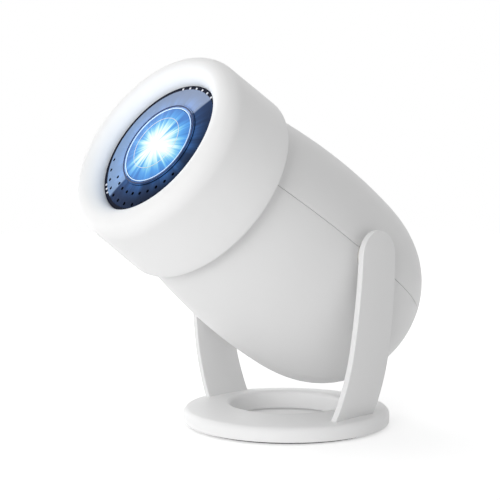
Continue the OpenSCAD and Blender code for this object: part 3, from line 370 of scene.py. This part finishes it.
def panel_plane(made, shift=(0.0, 0.0)):
    """Distance across and up from the lens's axis, or from a point beside it, of a point on the head."""
    place = made.place()
    centre = LENS @ Vector((*shift, 0.0))
    across = made.math("SUBTRACT", made.dot(place, ACROSS), centre.dot(ACROSS))
    up = made.math("SUBTRACT", made.dot(place, UPWARD), centre.dot(UPWARD))
    return place, across, up


def leaning_line(made, across, up, lean):
    """Distance over and along a line through the lens's axis that leans by an angle."""
    over = made.math("SUBTRACT", made.math("MULTIPLY", up, math.cos(lean)),
                     made.math("MULTIPLY", across, math.sin(lean)))
    along = made.math("ADD", made.math("MULTIPLY", up, math.sin(lean)),
                      made.math("MULTIPLY", across, math.cos(lean)))
    return over, along


def light_rays(made, across, up, scale):
    """Distance from the lens's axis, and streaks that run straight out from it."""
    flat = made.node("ShaderNodeCombineXYZ", {"X": across, "Y": up}).outputs["Vector"]
    heading = made.node("ShaderNodeVectorMath", {0: flat}, operation="NORMALIZE").outputs["Vector"]
    return made.reach(flat), made.noise(heading, scale, detail=3.0, rough=0.6)


def smoked_panel(name):
    """Polished front panel: a painted reflection on the upper side, a blue-black lower side that is lighter
    towards the reflection's edge, painted shade in the sound holes and painted light spilled round the lens.
    """
    reflection_edge_band, dark_band, reflection_band = (-0.0020, -0.0008), (-0.028, -0.002), (-0.010, 0.022)
    ray_band, ray_light, spill_band = (0.44, 0.66), (0.22, 1.0), (0.019, 0.031)
    spill_power, shaded_wall_to_face = 1.6, (0.35, 0.75)
    look = finish()
    made = Shader(name)
    place, across, up = panel_plane(made)
    over, along = leaning_line(made, across, up, look.reflection_lean)
    # Painted reflection: a pale blue to grey upper side with a soft edge along the leaning line, and a blue-black
    # lower side that is lighter near that edge
    dark = made.mix(made.spread(over, *dark_band), tinted(look.panel_dark, factor=0.5),
                    tinted(look.panel_dark, factor=2.0))
    pale = made.mix(made.spread(along, *reflection_band), look.panel_reflection_blue, look.panel_reflection_grey)
    tone = made.mix(made.noise(place, scale=60.0), tinted(WHITE, factor=0.94), WHITE)
    surface = made.mix(1.0, made.mix(made.spread(over, *reflection_edge_band), dark, pale), tone, "MULTIPLY")
    # Painted shade: the walls of the sound holes are painted near black
    facing = made.dot(made.node("ShaderNodeTexCoord").outputs["Normal"], FORWARD)
    face = made.spread(facing, *shaded_wall_to_face)
    reach, rays = light_rays(made, across, up, scale=3.4)
    fade = made.math("POWER", made.spread(reach, *spill_band, 1.0, 0.0), spill_power)
    streaks = made.math("MULTIPLY", fade, made.spread(rays, *ray_band, *ray_light))
    spill = made.math("MULTIPLY", streaks, face)
    made.set(Base_Color=made.mix(face, tinted(look.panel_dark, factor=0.3), surface), Specular_IOR_Level=0.05,
             Emission_Color=made.mix(spill, BLACK, look.glow_spill), Emission_Strength=0.9)
    made.gloss(made.noise(place, scale=240.0, detail=3.0), middle=0.24, change=0.04)
    return made.material


def lit_lens(name):
    """Front glass with the lamp on behind it: a white core, a cyan halo and blue rays."""
    centre, glow_radius, glass_dark = (0.0010, -0.0014), 0.02, (0.01, 0.02, 0.05)
    ray_band, ray_push = (0.3, 0.72), (-0.0034, 0.0060)
    lobe_band, lobe_push = (0.35, 0.65), (-0.0030, 0.0024)
    look = finish()
    made = Shader(name)
    place, across, up = panel_plane(made, centre)
    reach, rays = light_rays(made, across, up, scale=4.2)
    _, lobes = light_rays(made, across, up, scale=1.5)
    push = made.math("ADD", made.spread(rays, *ray_band, *ray_push),
                     made.spread(lobes, *lobe_band, *lobe_push))
    out = made.math("DIVIDE", made.math("SUBTRACT", reach, push), glow_radius, clamp=True)
    glow = made.ramp(out, [(0.0, look.glow_core), (0.24, look.glow_core), (0.44, look.glow_mid),
                           (0.58, look.glow_cyan), (0.74, look.glow_blue), (1.0, look.glow_edge)])
    made.set(Base_Color=(*glass_dark, 1.0), Emission_Color=glow, Emission_Strength=1.0,
             Specular_IOR_Level=0.15)
    made.gloss(made.noise(place, scale=200.0), middle=0.065, change=0.025)
    return made.material


def glowing_trim(name, colour, glow):
    """Polished trim that carries a little of the lamp's light."""
    made = Shader(name)
    place, across, up = panel_plane(made)
    _, rays = light_rays(made, across, up, scale=3.0)
    made.set(Base_Color=made.mix(rays, tinted(colour, factor=0.85), tinted(colour, factor=1.1)),
             Emission_Color=made.mix(rays, tinted(glow, factor=0.6), glow), Emission_Strength=0.6)
    made.gloss(made.noise(place, scale=300.0), middle=0.21, change=0.05)
    return made.material


# Moulded finishes of the record's slots: name, roughness, scale and depth of the grain
MOULDED = {
    "underside_plastic": ("underside_grey", 0.55, 1500.0, 0.2),
    "panel_black": ("panel_back", 0.2, 2600.0, 0.05),
    "black_plastic": ("fine_black", 0.5, 2600.0, 0.15),
    "grey_plastic": ("matt_grey", 0.5, 1800.0, 0.15),
    "rubber": ("foot_rubber", 0.75, 900.0, 0.3),
    "nylon": ("natural_nylon", 0.45, 2600.0, 0.05),
    "picture_glass": ("picture_dark", 0.12, 6000.0, 0.02),
    "window_red": ("dark_red_window", 0.1, 2600.0, 0.0),
}
# Metal finishes: name, tint, roughness and stretch of the drawn lines
DRAWN = {
    "bright_trim": ("polished_trim", 1.0, 0.14, (1.0, 1.0, 1.0)),
    "steel": ("bright_steel", 0.75, 0.3, (1.0, 60.0, 60.0)),
    "bush_brass": ("turned_brass", 1.0, 0.28, (60.0, 1.0, 1.0)),
    "sink_aluminium": ("extruded_aluminium", 1.0, 0.36, (1.0, 60.0, 60.0)),
}
OTHER = {"clear_glass": (clear_glass, "coated_glass"), "board_green": (circuit_board, "coated_board")}


def slot_material(slot):
    """The finish that a slot of the record stands for."""
    colour = SLOT_COLOUR[slot]
    if slot == "white_plastic":
        return satin_white("satin_white", finish().shell_white)
    if slot in MOULDED:
        name, roughness, grain, grain_depth = MOULDED[slot]
        return moulded_plastic(name, colour, roughness, grain, grain_depth)
    if slot in DRAWN:
        name, tint, roughness, stretch = DRAWN[slot]
        return drawn_metal(name, tinted(colour, tint), roughness, stretch)
    maker, name = OTHER[slot]
    return maker(name, colour)


MADE = {}


def shared(maker, name):
    """A material that is made once and then used again."""
    if name not in MADE:
        MADE[name] = maker(name)
    return MADE[name]


# Modelling


def arc(centre, radius, start, end, steps):
    """Points along a circle's arc, with the angles in degrees."""
    angles = [math.radians(start + (end - start) * i / steps) for i in range(steps + 1)]
    return [(centre[0] + radius * math.cos(a), centre[1] + radius * math.sin(a)) for a in angles]


def hoop(radius, height, half_thickness, steps):
    """Closed round profile of a thin ring."""
    return arc((radius, height), half_thickness, 0, 360, steps)[:-1]


def turned(profile, closed=True):
    """Spins a profile of (radius, height) points round Z."""
    bm = bmesh.new()
    verts = [bm.verts.new((radius, 0, height)) for radius, height in profile]
    pairs = list(zip(verts, verts[1:])) + ([(verts[-1], verts[0])] if closed else [])
    edges = [bm.edges.new(pair) for pair in pairs]
    bmesh.ops.spin(bm, geom=verts + edges, cent=(0, 0, 0), axis=(0, 0, 1), dvec=(0, 0, 0),
                   angle=2 * math.pi, steps=sizes().spin_steps, use_merge=True,
                   use_normal_flip=False, use_duplicate=False)
    bmesh.ops.remove_doubles(bm, verts=bm.verts, dist=MERGE)
    bmesh.ops.recalc_face_normals(bm, faces=bm.faces)
    return bm


def rounded(bm, edges, offset, segments):
    """Rounds some edges of a bmesh."""
    bmesh.ops.bevel(bm, geom=edges, offset=offset, offset_type="OFFSET", segments=segments, profile=0.5,
                    affect="EDGES", material=-1, clamp_overlap=True)


def soften(bm, offset, segments, least=60, keep=None):
    """Rounds the edges whose faces meet at more than an angle in degrees."""
    low = math.radians(least)
    edges = [e for e in bm.edges if len(e.link_faces) == 2 and e.calc_face_angle() > low
             and (keep is None or keep(e))]
    rounded(bm, edges, offset, segments)


def rod(radius, low, high, segments):
    """A capped round bar along Z."""
    bm = bmesh.new()
    bmesh.ops.create_cone(bm, cap_ends=True, segments=segments, radius1=radius, radius2=radius,
                          depth=high - low, matrix=Matrix.Translation((0, 0, (low + high) / 2)))
    return bm


def block(centre, size):
    """A box, as a bmesh."""
    bm = bmesh.new()
    bmesh.ops.create_cube(bm, size=1.0, matrix=Matrix.Translation(centre) @ Matrix.Diagonal((*size, 1.0)))
    return bm


def moved(bm, matrix):
    """The same bmesh after a move or turn."""
    bmesh.ops.transform(bm, matrix=matrix, verts=bm.verts)
    return bm


def cut_at(bm, point, normal, clear=False):
    """Cuts a bmesh by a plane and, if wanted, clears what lies on the normal's side."""
    bmesh.ops.bisect_plane(bm, geom=bm.verts[:] + bm.edges[:] + bm.faces[:], dist=MERGE,
                           plane_co=point, plane_no=normal, clear_outer=clear)


def fan_out(number, middle, step):
    """Turns of a row of like things, from its middle and step in degrees."""
    return [math.radians(middle + (i - (number - 1) / 2) * step) for i in range(number)]


def mesh_of(name, bm):
    """A mesh made of a bmesh, which is used up."""
    mesh = bpy.data.meshes.new(name)
    bm.to_mesh(mesh)
    bm.free()
    return mesh


def joined(parts):
    """Several bmeshes in one."""
    bm = bmesh.new()
    for part in parts:
        mesh = mesh_of("part", part)
        bm.from_mesh(mesh)
        bpy.data.meshes.remove(mesh)
    return bm


def shown(name, data):
    """A new object in the scene."""
    made = bpy.data.objects.new(name, data)
    bpy.context.scene.collection.objects.link(made)
    return made


def crisp(mesh):
    """Smooth shading that keeps sharp edges."""
    mesh.shade_smooth()
    mesh.set_sharp_from_angle(angle=math.radians(CRISP))


def piece(name, bm, place, body, slot, look=None, stands_for=()):
    """Makes a finished object of a bmesh, which rides on a body and stands for its CAD nodes."""
    made = shown(name, mesh_of(name, moved(bm, place)))
    made.data.materials.append(look or shared(slot_material, slot))
    crisp(made.data)
    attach(made, body)
    if stands_for:
        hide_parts(*stands_for)
    return made


def carve(made, cutter_bm):
    """Cuts a closed shape out of a piece."""
    cutter = shown("cutter", mesh_of("cutter", cutter_bm))
    cut = made.modifiers.new("cut", "BOOLEAN")
    cut.object = cutter
    cut.operation = "DIFFERENCE"
    cut.solver = "EXACT"
    graph = bpy.context.evaluated_depsgraph_get()
    result = bpy.data.meshes.new_from_object(made.evaluated_get(graph))
    made.modifiers.clear()
    spent = (made.data, cutter.data)
    made.data = result
    bpy.data.objects.remove(cutter)
    for mesh in spent:
        bpy.data.meshes.remove(mesh)
    result.name = made.name
    crisp(result)


# Stand


class PROJECTOR_OT_base(bpy.types.Operator):
    """Turns the ring base with its rounded edge"""

    bl_idname = "projector.base"
    bl_label = "Ring base"

    def execute(self, context):
        s = sizes()
        slope, foot_round, hole_round, ceiling = 7, 0.0009, 0.0025, 0.0064
        top = s.base_height + s.base_rise
        hollow_in, hollow_out = s.base_hole + s.base_wall, s.base_radius - s.base_wall
        profile = (
            arc((s.base_radius - foot_round, s.foot_height + foot_round), foot_round, -90, 0, steps=4)
            + arc((s.base_radius - s.base_round, s.base_height - s.base_round), s.base_round,
                  0, 90 - slope, steps=12)
            + arc((s.base_hole + hole_round, top - hole_round), hole_round, 90 + slope, 180, steps=8)
            + [(s.base_hole, s.foot_height), (hollow_in, s.foot_height), (hollow_in, ceiling),
               (hollow_out, ceiling), (hollow_out, s.foot_height)]
        )
        piece("base_ring_moulding", turned(profile), Matrix(), "stand", "white_plastic",
              shared(bright_white, "bright_white"), ["base_ring"])
        return {"FINISHED"}


class PROJECTOR_OT_arms(bpy.types.Operator):
    """Bows the two arms of the yoke and gives each its round pivot pad"""

    bl_idname = "projector.arms"
    bl_label = "Yoke arms"

    def execute(self, context):
        for side, name in ((1, "right"), (-1, "left")):
            bm = joined((self.strip(), self.pad()))
            if side < 0:
                bmesh.ops.scale(bm, vec=(-1, 1, 1), verts=bm.verts)
                bmesh.ops.reverse_faces(bm, faces=bm.faces)
            piece(f"arm_{name}_moulding", bm, Matrix(), "stand", "white_plastic", stands_for=[f"arm_{name}"])
        return {"FINISHED"}

    def outside_at(self, height):
        """How far out an arm's outer face is at a height."""
        s = sizes()
        top = PIVOT.z + s.arm_top
        centre = s.arm_outside - s.arm_bow
        if height > top - s.arm_knee:
            return centre + math.sqrt(s.arm_bow ** 2 - (height - top) ** 2)
        lean = math.asin(s.arm_knee / s.arm_bow)
        low_x = centre + (s.arm_bow - s.arm_foot_bow) * math.cos(lean)
        low_z = top - (s.arm_bow - s.arm_foot_bow) * math.sin(lean)
        return low_x + math.sqrt(s.arm_foot_bow ** 2 - (height - low_z) ** 2)

    def strip(self):
        """An arm's bowed strip with a rounded top, on the +X side."""
        s = sizes()
        low, high = s.base_height - s.arm_root, PIVOT.z + s.arm_top
        top_steps, rows, edge_round = 40, 44, 0.0009
        bm = bmesh.new()
        first = bm.verts.new((0, s.arm_top, PIVOT.z))
        bmesh.ops.spin(bm, geom=[first], cent=(0, 0, PIVOT.z), axis=(1, 0, 0), dvec=(0, 0, 0), angle=math.pi,
                       steps=top_steps, use_merge=False, use_normal_flip=False, use_duplicate=False)
        bm.verts.ensure_lookup_table()
        bm.faces.new(list(bm.verts) + [bm.verts.new((0, y, low)) for y in (-s.arm_foot, s.arm_foot)])
        for i in range(1, rows):
            cut_at(bm, (0, 0, low + (high - low) * i / rows), (0, 0, 1))
        for vert in bm.verts:
            vert.co.x = self.outside_at(vert.co.z)
        bmesh.ops.recalc_face_normals(bm, faces=bm.faces)
        if bm.faces[:][0].normal.x < 0:
            bmesh.ops.reverse_faces(bm, faces=bm.faces)
        bmesh.ops.solidify(bm, geom=bm.faces[:], thickness=s.arm_thickness)
        bmesh.ops.recalc_face_normals(bm, faces=bm.faces)
        soften(bm, edge_round, segments=4)
        return bm

    def pad(self):
        """The round pad that fills the gap between an arm and its friction washer, on the +X side."""
        s = sizes()
        pad_round = 0.0003
        low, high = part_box("friction_washers")[1].x, s.arm_outside - s.arm_thickness / 2
        pad = rod(s.pad_radius, low, high, segments=64)
        soften(pad, pad_round, segments=2)
        return moved(pad, Matrix.Translation(PIVOT) @ Matrix.Rotation(math.radians(90), 4, "Y"))


# Head


def shell_radius(at, inset=0.0):
    """Radius of the head's front part at a distance from the pivot."""
    s = sizes()
    part = (at + s.wide_back) / (s.neck_place + s.wide_back)
    return s.body_radius - (s.body_radius - s.neck_radius) * part ** 2 - inset


def dome_points(inset, end_radius, steps):
    """Points of the head's rear dome, from its widest place to a radius."""
    s = sizes()
    wide, deep, power = s.body_radius - inset, s.dome_back - s.wide_back - inset, s.dome_power
    last = math.acos((end_radius / wide) ** (power / 2))
    turns = [last * i / steps for i in range(1, steps + 1)]
    return [(wide * math.cos(turn) ** (2 / power), -s.wide_back - deep * math.sin(turn) ** (2 / power))
            for turn in turns]


def shell_profile():
    """Closed profile of the head's wall."""
    s = sizes()
    front_steps, inner_rim, gap = 24, 0.0025, 0.00015
    fronts = [s.neck_place - (s.neck_place + s.wide_back) * i / front_steps for i in range(front_steps + 1)]
    flat = s.rear_radius + s.rear_rim
    outer = [(shell_radius(at), at) for at in fronts] + dome_points(0.0, flat, steps=40)
    rear = outer[-1][1]
    lip = s.rear_radius + gap
    inner = dome_points(s.wall, flat + inner_rim, steps=16)
    inner_front = [(shell_radius(at, s.wall), at) for at in reversed(fronts)]
    return outer + [(lip, rear), (lip, rear + s.wall)] + list(reversed(inner)) + inner_front


class PROJECTOR_OT_shells(bpy.types.Operator):
    """Turns the head's wall, parts it at the seam and cuts the wheel's slot and the pivot seats"""

    bl_idname = "projector.shells"
    bl_label = "Head shells"

    def execute(self, context):
        for name, sign in (("upper", 1), ("lower", -1)):
            made = piece(f"{name}_shell_moulding", self.half(sign), HEAD, "head", "white_plastic",
                         stands_for=[f"{name}_shell"])
            carve(made, self.wheel_slot())
            for side in (1, -1):
                carve(made, self.pivot_seat(side))
        return {"FINISHED"}

    def half(self, sign):
        """The upper or lower half of the head's wall, with its rear rim and its seam rounded."""
        s = sizes()
        bm = turned(shell_profile())
        rim, near_rim, rim_round = s.rear_radius + s.rear_rim, 1e-4, 0.0009
        rear = min(v.co.z for v in bm.verts)
        seam_at = sign * s.seam / 2

        def on_rim(edge):
            return all(abs(v.co.z - rear) < ON_PLANE and abs(v.co.xy.length - rim) < near_rim
                       for v in edge.verts)

        def on_seam(edge):
            return (all(abs(v.co.y - seam_at) < ON_PLANE for v in edge.verts)
                    and min(v.co.xy.length for v in edge.verts) > rim)

        rounded(bm, [e for e in bm.edges if on_rim(e)], rim_round, segments=4)
        cut_at(bm, (0, seam_at, 0), (0, -sign, 0), clear=True)
        bmesh.ops.holes_fill(bm, edges=[e for e in bm.edges if e.is_boundary], sides=0)
        bmesh.ops.recalc_face_normals(bm, faces=bm.faces)
        soften(bm, s.seam_round, segments=3, least=45, keep=on_seam)
        bmesh.ops.dissolve_degenerate(bm, dist=ON_PLANE, edges=bm.edges)
        return bm

    def wheel_slot(self):
        """The slot that the focus wheel turns in."""
        s = sizes()
        depth, side_gap, slot_round, nearly_along = 0.0058, 0.0002, 0.0012, 0.9
        to_head = HEAD.inverted()
        corners = [to_head @ v.co for v in frame["nodes"]["focus_wheel"].data.vertices]
        low = Vector([min(c[i] for c in corners) for i in range(3)])
        high = Vector([max(c[i] for c in corners) for i in range(3)])
        low = Vector((low.x - s.wheel_room, low.y - side_gap, high.z - depth - s.wheel_room))
        high += Vector((0, side_gap, s.wheel_room))
        middle, size = (low + high) / 2, high - low
        slot = block((middle.x, LENS_UP, middle.z), size)
        soften(slot, slot_round, segments=3,
               keep=lambda e: abs((e.verts[0].co - e.verts[1].co).normalized().x) > nearly_along)
        return moved(slot, HEAD)

    def pivot_seat(self, side):
        """The round cut that leaves a flat seat for a pivot pad."""
        s = sizes()
        past_shell = 0.075
        seat = rod(s.seat_radius, s.seat_place, past_shell, segments=96)
        return moved(seat, HEAD @ Matrix.Rotation(math.radians(90 * side), 4, "Y"))


class PROJECTOR_OT_front_ring(bpy.types.Operator):
    """Turns the broad front ring with its soft crest and lip"""

    bl_idname = "projector.front_ring"
    bl_label = "Front ring"

    def execute(self, context):
        s = sizes()
        shoulder_lean, lip_lean = 50, 30
        side_steps, rear_round, flange, tuck = 6, 0.0012, 0.004, 0.0006
        lip_drop, lip_width, web_rise = 0.001, 0.004, 0.003
        crest = (s.crest_radius, s.ring_front - s.crest_round)
        shoulder, shoulder_drop = self.run_out(s.ring_radius - s.crest_radius, shoulder_lean)
        lip, lip_fall = self.run_out(s.crest_radius - s.opening, lip_lean)
        shoulder_at = (s.ring_radius - shoulder, crest[1] - shoulder_drop)
        lip_at = (s.opening + lip, crest[1] - lip_fall)
        start, rear = s.ring_place + rear_round, s.ring_place + flange
        inside, neck = s.ring_radius - s.ring_wall, s.neck_radius - tuck
        under_lip = s.panel_place - lip_drop
        side = [(s.ring_rear_radius + (s.ring_radius - s.ring_rear_radius) * i / side_steps,
                 start + (shoulder_at[1] - start) * i / side_steps) for i in range(1, side_steps)]
        profile = (
            [(neck, s.ring_place)]
            + arc((s.ring_rear_radius - rear_round, start), rear_round, -90, 0, steps=6)
            + side
            + arc(shoulder_at, shoulder, 0, 90 - shoulder_lean, steps=10)
            + arc(crest, s.crest_round, 90 - shoulder_lean, 90 + lip_lean, steps=18)[1:]
            + arc(lip_at, lip, 90 + lip_lean, 180, steps=12)[1:]
            + [(s.opening, under_lip), (s.opening + lip_width, under_lip),
               (s.crest_radius, s.panel_place + web_rise), (inside, shoulder_at[1]),
               (inside, rear), (neck, rear)]
        )
        piece("front_ring_moulding", turned(profile), HEAD, "head", "white_plastic",
              shared(bright_white, "bright_white"), ["front_ring"])
        return {"FINISHED"}

    def run_out(self, width, lean):
        """Radius of the arc that carries the crest out over a width, and how far its centre lies lower."""
        s = sizes()
        lean = math.radians(lean)
        radius = (width - s.crest_round * math.sin(lean)) / (1 - math.sin(lean))
        return radius, (radius - s.crest_round) * math.cos(lean)


# The panel's hole for the lens and the gap round the panel, in metres
PANEL_INSIDE, PANEL_GAP = 0.0211, 0.0021
# Rows of sound holes: radius, number, middle and step, with the angles in degrees
HOLES = ((0.0310, 15, -90, 11.5), (0.0255, 10, -90, 11.5))
# Rows of teeth: number, middle and step, with the angles in degrees
TEETH = ((6, 72.5, 8.6), (3, 220, 5.0))


class PROJECTOR_OT_front_panel(bpy.types.Operator):
    """Turns the crowned front panel, drills its sound holes and sets teeth in the gap round it"""

    bl_idname = "projector.front_panel"
    bl_label = "Front panel"

    def execute(self, context):
        look = finish()
        made = piece("front_panel_moulding", turned(self.profile()), HEAD, "head", "panel_black",
                     shared(smoked_panel, "smoked_panel"), ["front_panel"])
        carve(made, moved(self.holes(), HEAD))
        # Painted shade: the near-black liner darkens the gap round the panel
        piece("panel_gap_liner", turned(self.liner()), HEAD, "head", "black_plastic",
              moulded_plastic("gap_shade_black", look.gap_shade_black, roughness=0.5, shine=0.1))
        piece("panel_gap_teeth", self.teeth(), HEAD, "head", "grey_plastic",
              moulded_plastic("tooth_white", look.tooth_white, roughness=0.4))
        return {"FINISHED"}

    def profile(self):
        """Closed profile of the panel, which falls away from its flat middle to its rim."""
        s = sizes()
        steps, fall_power, flat, wall = 14, 1.45, 0.0235, 0.0006
        outside, top = s.opening - PANEL_GAP, s.panel_place + s.panel_rise
        parts = [i / steps for i in range(steps + 1)]
        crown = [(flat + (outside - flat) * part, top - s.panel_rise * part ** fall_power) for part in parts]
        return [(PANEL_INSIDE, top)] + crown + [(outside, s.panel_place - wall), (PANEL_INSIDE, top - wall)]

    def holes(self):
        """The drills of the two rows of sound holes below the lens."""
        s = sizes()
        behind, before = 0.004, 0.002
        low, high = s.panel_place - behind, s.panel_place + s.panel_rise + before
        drills = []
        for radius, number, middle, step in HOLES:
            for turn in fan_out(number, middle, step):
                at = (radius * math.cos(turn), radius * math.sin(turn), 0)
                drills.append(moved(rod(s.hole_radius, low, high, segments=16), Matrix.Translation(at)))
        return joined(drills)

    def liner(self):
        """Closed profile of the dark liner behind the panel and in the gap round it; its near black is painted
        shade in the gap.
        """
        s = sizes()
        sink, fit, undercut, depth, step, behind = 0.00015, 0.0001, 0.0002, 0.0032, 0.0007, 0.0009
        rim, edge, outside = s.panel_place - sink, s.opening - fit, s.opening - PANEL_GAP
        return [(PANEL_INSIDE, rim - depth), (edge, rim - depth), (edge, rim), (outside + fit, rim),
                (outside - undercut, rim - step), (PANEL_INSIDE, s.panel_place + s.panel_rise - behind)]

    def teeth(self):
        """Small pale teeth that cross the gap round the panel, in two rows."""
        s = sizes()
        inset, sink, size, tooth_round = 0.0015, 0.0008, (0.0011, 0.0010, 0.0018), 0.00015
        made = []
        for number, middle, step in TEETH:
            for turn in fan_out(number, middle, step):
                tooth = block((s.opening - inset, 0, s.panel_place - sink), size)
                soften(tooth, tooth_round, segments=2)
                made.append(moved(tooth, Matrix.Rotation(turn, 4, "Z")))
        return joined(made)


# Fine hoops on the lens's trim: name, radius, half thickness, colour and glow. The bright line is a painted
# highlight on the trim's edge
TRIM_HOOPS = (
    ("line", 0.0201, 0.00022, (0.6, 0.7, 0.85), (0.40, 0.64, 0.90)),
    ("groove", 0.0214, 0.00040, (0.008, 0.02, 0.07), (0.01, 0.03, 0.10)),
)


class PROJECTOR_OT_lens(bpy.types.Operator):
    """Turns the trim round the lens, the lit front glass and the fine ring on it"""

    bl_idname = "projector.lens"
    bl_label = "Lens and trim"

    def execute(self, context):
        self.trim()
        self.glass()
        return {"FINISHED"}

    def trim(self):
        """The band round the lens with its bright line, a painted highlight, and its dark groove."""
        s = sizes()
        depth, edge_round = 0.002, 0.0005
        panel = s.panel_place + s.panel_rise
        low, high = panel - depth, panel + s.trim_rise
        band = ([(s.trim_inside, low), (s.trim_outside, low)]
                + arc((s.trim_outside - edge_round, high - edge_round), edge_round, 0, 90, steps=4)
                + [(s.trim_inside, high)])
        piece("lens_trim_band", turned(band), LENS, "head", "panel_black",
              shared(smoked_panel, "smoked_panel"), ["lens_trim_ring"])
        for name, radius, half_thickness, colour, glow in TRIM_HOOPS:
            bm = turned(hoop(radius, high, half_thickness, steps=12))
            piece(f"lens_trim_{name}", bm, LENS, "head", "bright_trim",
                  glowing_trim(f"trim_{name}", colour, glow))

    def glass(self):
        """The bulging front glass and the fine ring that lies on it."""
        s = sizes()
        steps, edge, ring_lift, ring_half = 20, 0.004, 0.00008, 0.00016
        ball = (s.lens_radius ** 2 + s.lens_crown ** 2) / (2 * s.lens_crown)

        def height(radius):
            return s.lens_place + s.lens_crown - (ball - math.sqrt(ball ** 2 - radius ** 2))

        radii = [s.lens_radius * math.sin(math.pi / 2 * i / steps) for i in range(steps + 1)]
        back = s.lens_place - edge
        profile = [(radius, height(radius)) for radius in radii] + [(s.lens_radius, back), (0, back)]
        piece("front_glass", turned(profile, closed=False), LENS, "lens", "clear_glass",
              lit_lens("lit_glass"), ["front_lens", "lens_retainer"])
        ring = hoop(s.glass_ring, height(s.glass_ring) + ring_lift, ring_half, steps=8)
        piece("glass_ring", turned(ring), LENS, "lens", "bright_trim")


class PROJECTOR_OT_fittings(bpy.types.Operator):
    """Gives every CAD node the finish of its slot"""

    bl_idname = "projector.fittings"
    bl_label = "Fittings"

    def execute(self, context):
        for name, node in frame["nodes"].items():
            node.data.materials.clear()
            node.data.materials.append(shared(slot_material, NODE_SLOT[name]))
        return {"FINISHED"}


# Stage

LAMP_SIZE = 1.0
# Name, place and power in watts
LAMPS = (
    ("front", (0.40, -1.6, 0.25), 16.5),
    ("side", (-1.5, 0.0, 0.5), 10.0),
    ("rear", (-0.5, 0.9, 1.2), 3.5),
)
WORLD_LIGHT = 0.47
FLOOR_SIZE, FLOOR_WHITE, FLOOR_LIGHT = 6.0, (0.86, 0.86, 0.86), 0.10
# How much the floor is lifted towards white where it is seen, by the distance from its middle in metres. The low
# lift within the base's hole is a painted shadow, and the lower lift near the object lets its own shadow show
FLOOR_LIFT = ((0.0, 0.12), (0.03, 0.12), (0.055, 0.42), (0.08, 0.42), (0.45, 0.64), (1.0, 0.64))


class PROJECTOR_OT_stage(bpy.types.Operator):
    """Lays the pale floor and sets the lamps, the world and the camera"""

    bl_idname = "projector.stage"
    bl_label = "Stage"

    def execute(self, context):
        self.floor()
        self.world(context.scene)
        self.lamps()
        self.lens_glow()
        self.camera(context.scene)
        context.scene.view_settings.view_transform = "Standard"
        return {"FINISHED"}

    def floor(self):
        """A pale floor that keeps the object's shadow, with a painted shadow in the base's hole."""
        bm = bmesh.new()
        bmesh.ops.create_grid(bm, x_segments=1, y_segments=1, size=FLOOR_SIZE)
        made = shown("floor", mesh_of("floor", bm))
        look = Shader("floor_white")
        lift = look.curve(look.reach(look.place()), FLOOR_LIFT)
        look.set(Base_Color=(*FLOOR_WHITE, 1.0), Roughness=0.9, Specular_IOR_Level=0.1,
                 Emission_Color=(*WHITE, 1.0),
                 Emission_Strength=look.spread(look.seen(), 0.0, 1.0, FLOOR_LIGHT, lift))
        made.data.materials.append(look.material)

    def world(self, scene):
        """Soft light from all round, and a white background."""
        scene.world = bpy.data.worlds.new("studio")
        scene.world.use_nodes = True
        made = Wiring(scene.world.node_tree)
        background = made.tree.nodes["Background"].inputs
        made.put(background["Color"], (*WHITE, 1.0))
        made.put(background["Strength"], made.spread(made.seen(), 0.0, 1.0, WORLD_LIGHT, 1.0))

    def lamps(self):
        """Three broad lamps that look at the head."""
        for name, at, power in LAMPS:
            lamp = bpy.data.lights.new(name, "AREA")
            lamp.size, lamp.energy = LAMP_SIZE, power
            made = shown(name, lamp)
            made.location = at
            made.rotation_euler = (PIVOT - Vector(at)).to_track_quat("-Z", "Y").to_euler()
            made.visible_glossy = False

    def lens_glow(self):
        """A faint bluish lamp just before the lens."""
        ahead = 0.118
        lamp = bpy.data.lights.new("lens_glow", "POINT")
        lamp.energy, lamp.color, lamp.shadow_soft_size = 0.012, (0.72, 0.87, 1.0), 0.008
        made = shown("lens_glow", lamp)
        made.location = LENS @ Vector((0, 0, ahead))
        made.visible_glossy = False

    def camera(self, scene):
        """The camera, turned to the right of the front and looking slightly down."""
        turn, rise, place = math.radians(44.7), math.radians(1.85), (0.33378, -0.36465, 0.10792)
        back = Vector((math.sin(turn) * math.cos(rise), -math.cos(turn) * math.cos(rise), math.sin(rise)))
        right = Vector((math.cos(turn), math.sin(turn), 0))
        facing = Matrix((right, back.cross(right), back)).transposed()
        data = bpy.data.cameras.new("camera")
        data.lens, data.sensor_width = 66.6, 36.0
        scene.camera = shown("camera", data)
        scene.camera.matrix_world = Matrix.Translation(place) @ facing.to_4x4()


class PROJECTOR_PT_sidebar(bpy.types.Panel):
    """Lists the pieces in the 3D view's sidebar"""

    bl_idname = "PROJECTOR_PT_sidebar"
    bl_label = "Projector"
    bl_space_type = "VIEW_3D"
    bl_region_type = "UI"
    bl_category = "Projector"

    def draw(self, context):
        for operator in OPERATORS:
            self.layout.operator(operator.bl_idname)


OPERATORS = (
    PROJECTOR_OT_fittings,
    PROJECTOR_OT_base,
    PROJECTOR_OT_arms,
    PROJECTOR_OT_shells,
    PROJECTOR_OT_front_ring,
    PROJECTOR_OT_front_panel,
    PROJECTOR_OT_lens,
    PROJECTOR_OT_stage,
)
CLASSES = (ProjectorSizes, ProjectorFinish, *OPERATORS, PROJECTOR_PT_sidebar)


def register():
    """Adds the classes and the scene's settings."""
    for cls in CLASSES:
        bpy.utils.register_class(cls)
    bpy.types.Scene.projector_sizes = PointerProperty(type=ProjectorSizes)
    bpy.types.Scene.projector_finish = PointerProperty(type=ProjectorFinish)


def unregister():
    """Takes the classes and the scene's settings away."""
    del bpy.types.Scene.projector_finish
    del bpy.types.Scene.projector_sizes
    for cls in reversed(CLASSES):
        bpy.utils.unregister_class(cls)


def main():
    """Builds the projector."""
    register()
    bpy.ops.projector.fittings()
    bpy.ops.projector.base()
    bpy.ops.projector.arms()
    bpy.ops.projector.shells()
    bpy.ops.projector.front_ring()
    bpy.ops.projector.front_panel()
    bpy.ops.projector.lens()
    bpy.ops.projector.stage()


if __name__ == "__main__":
    main()
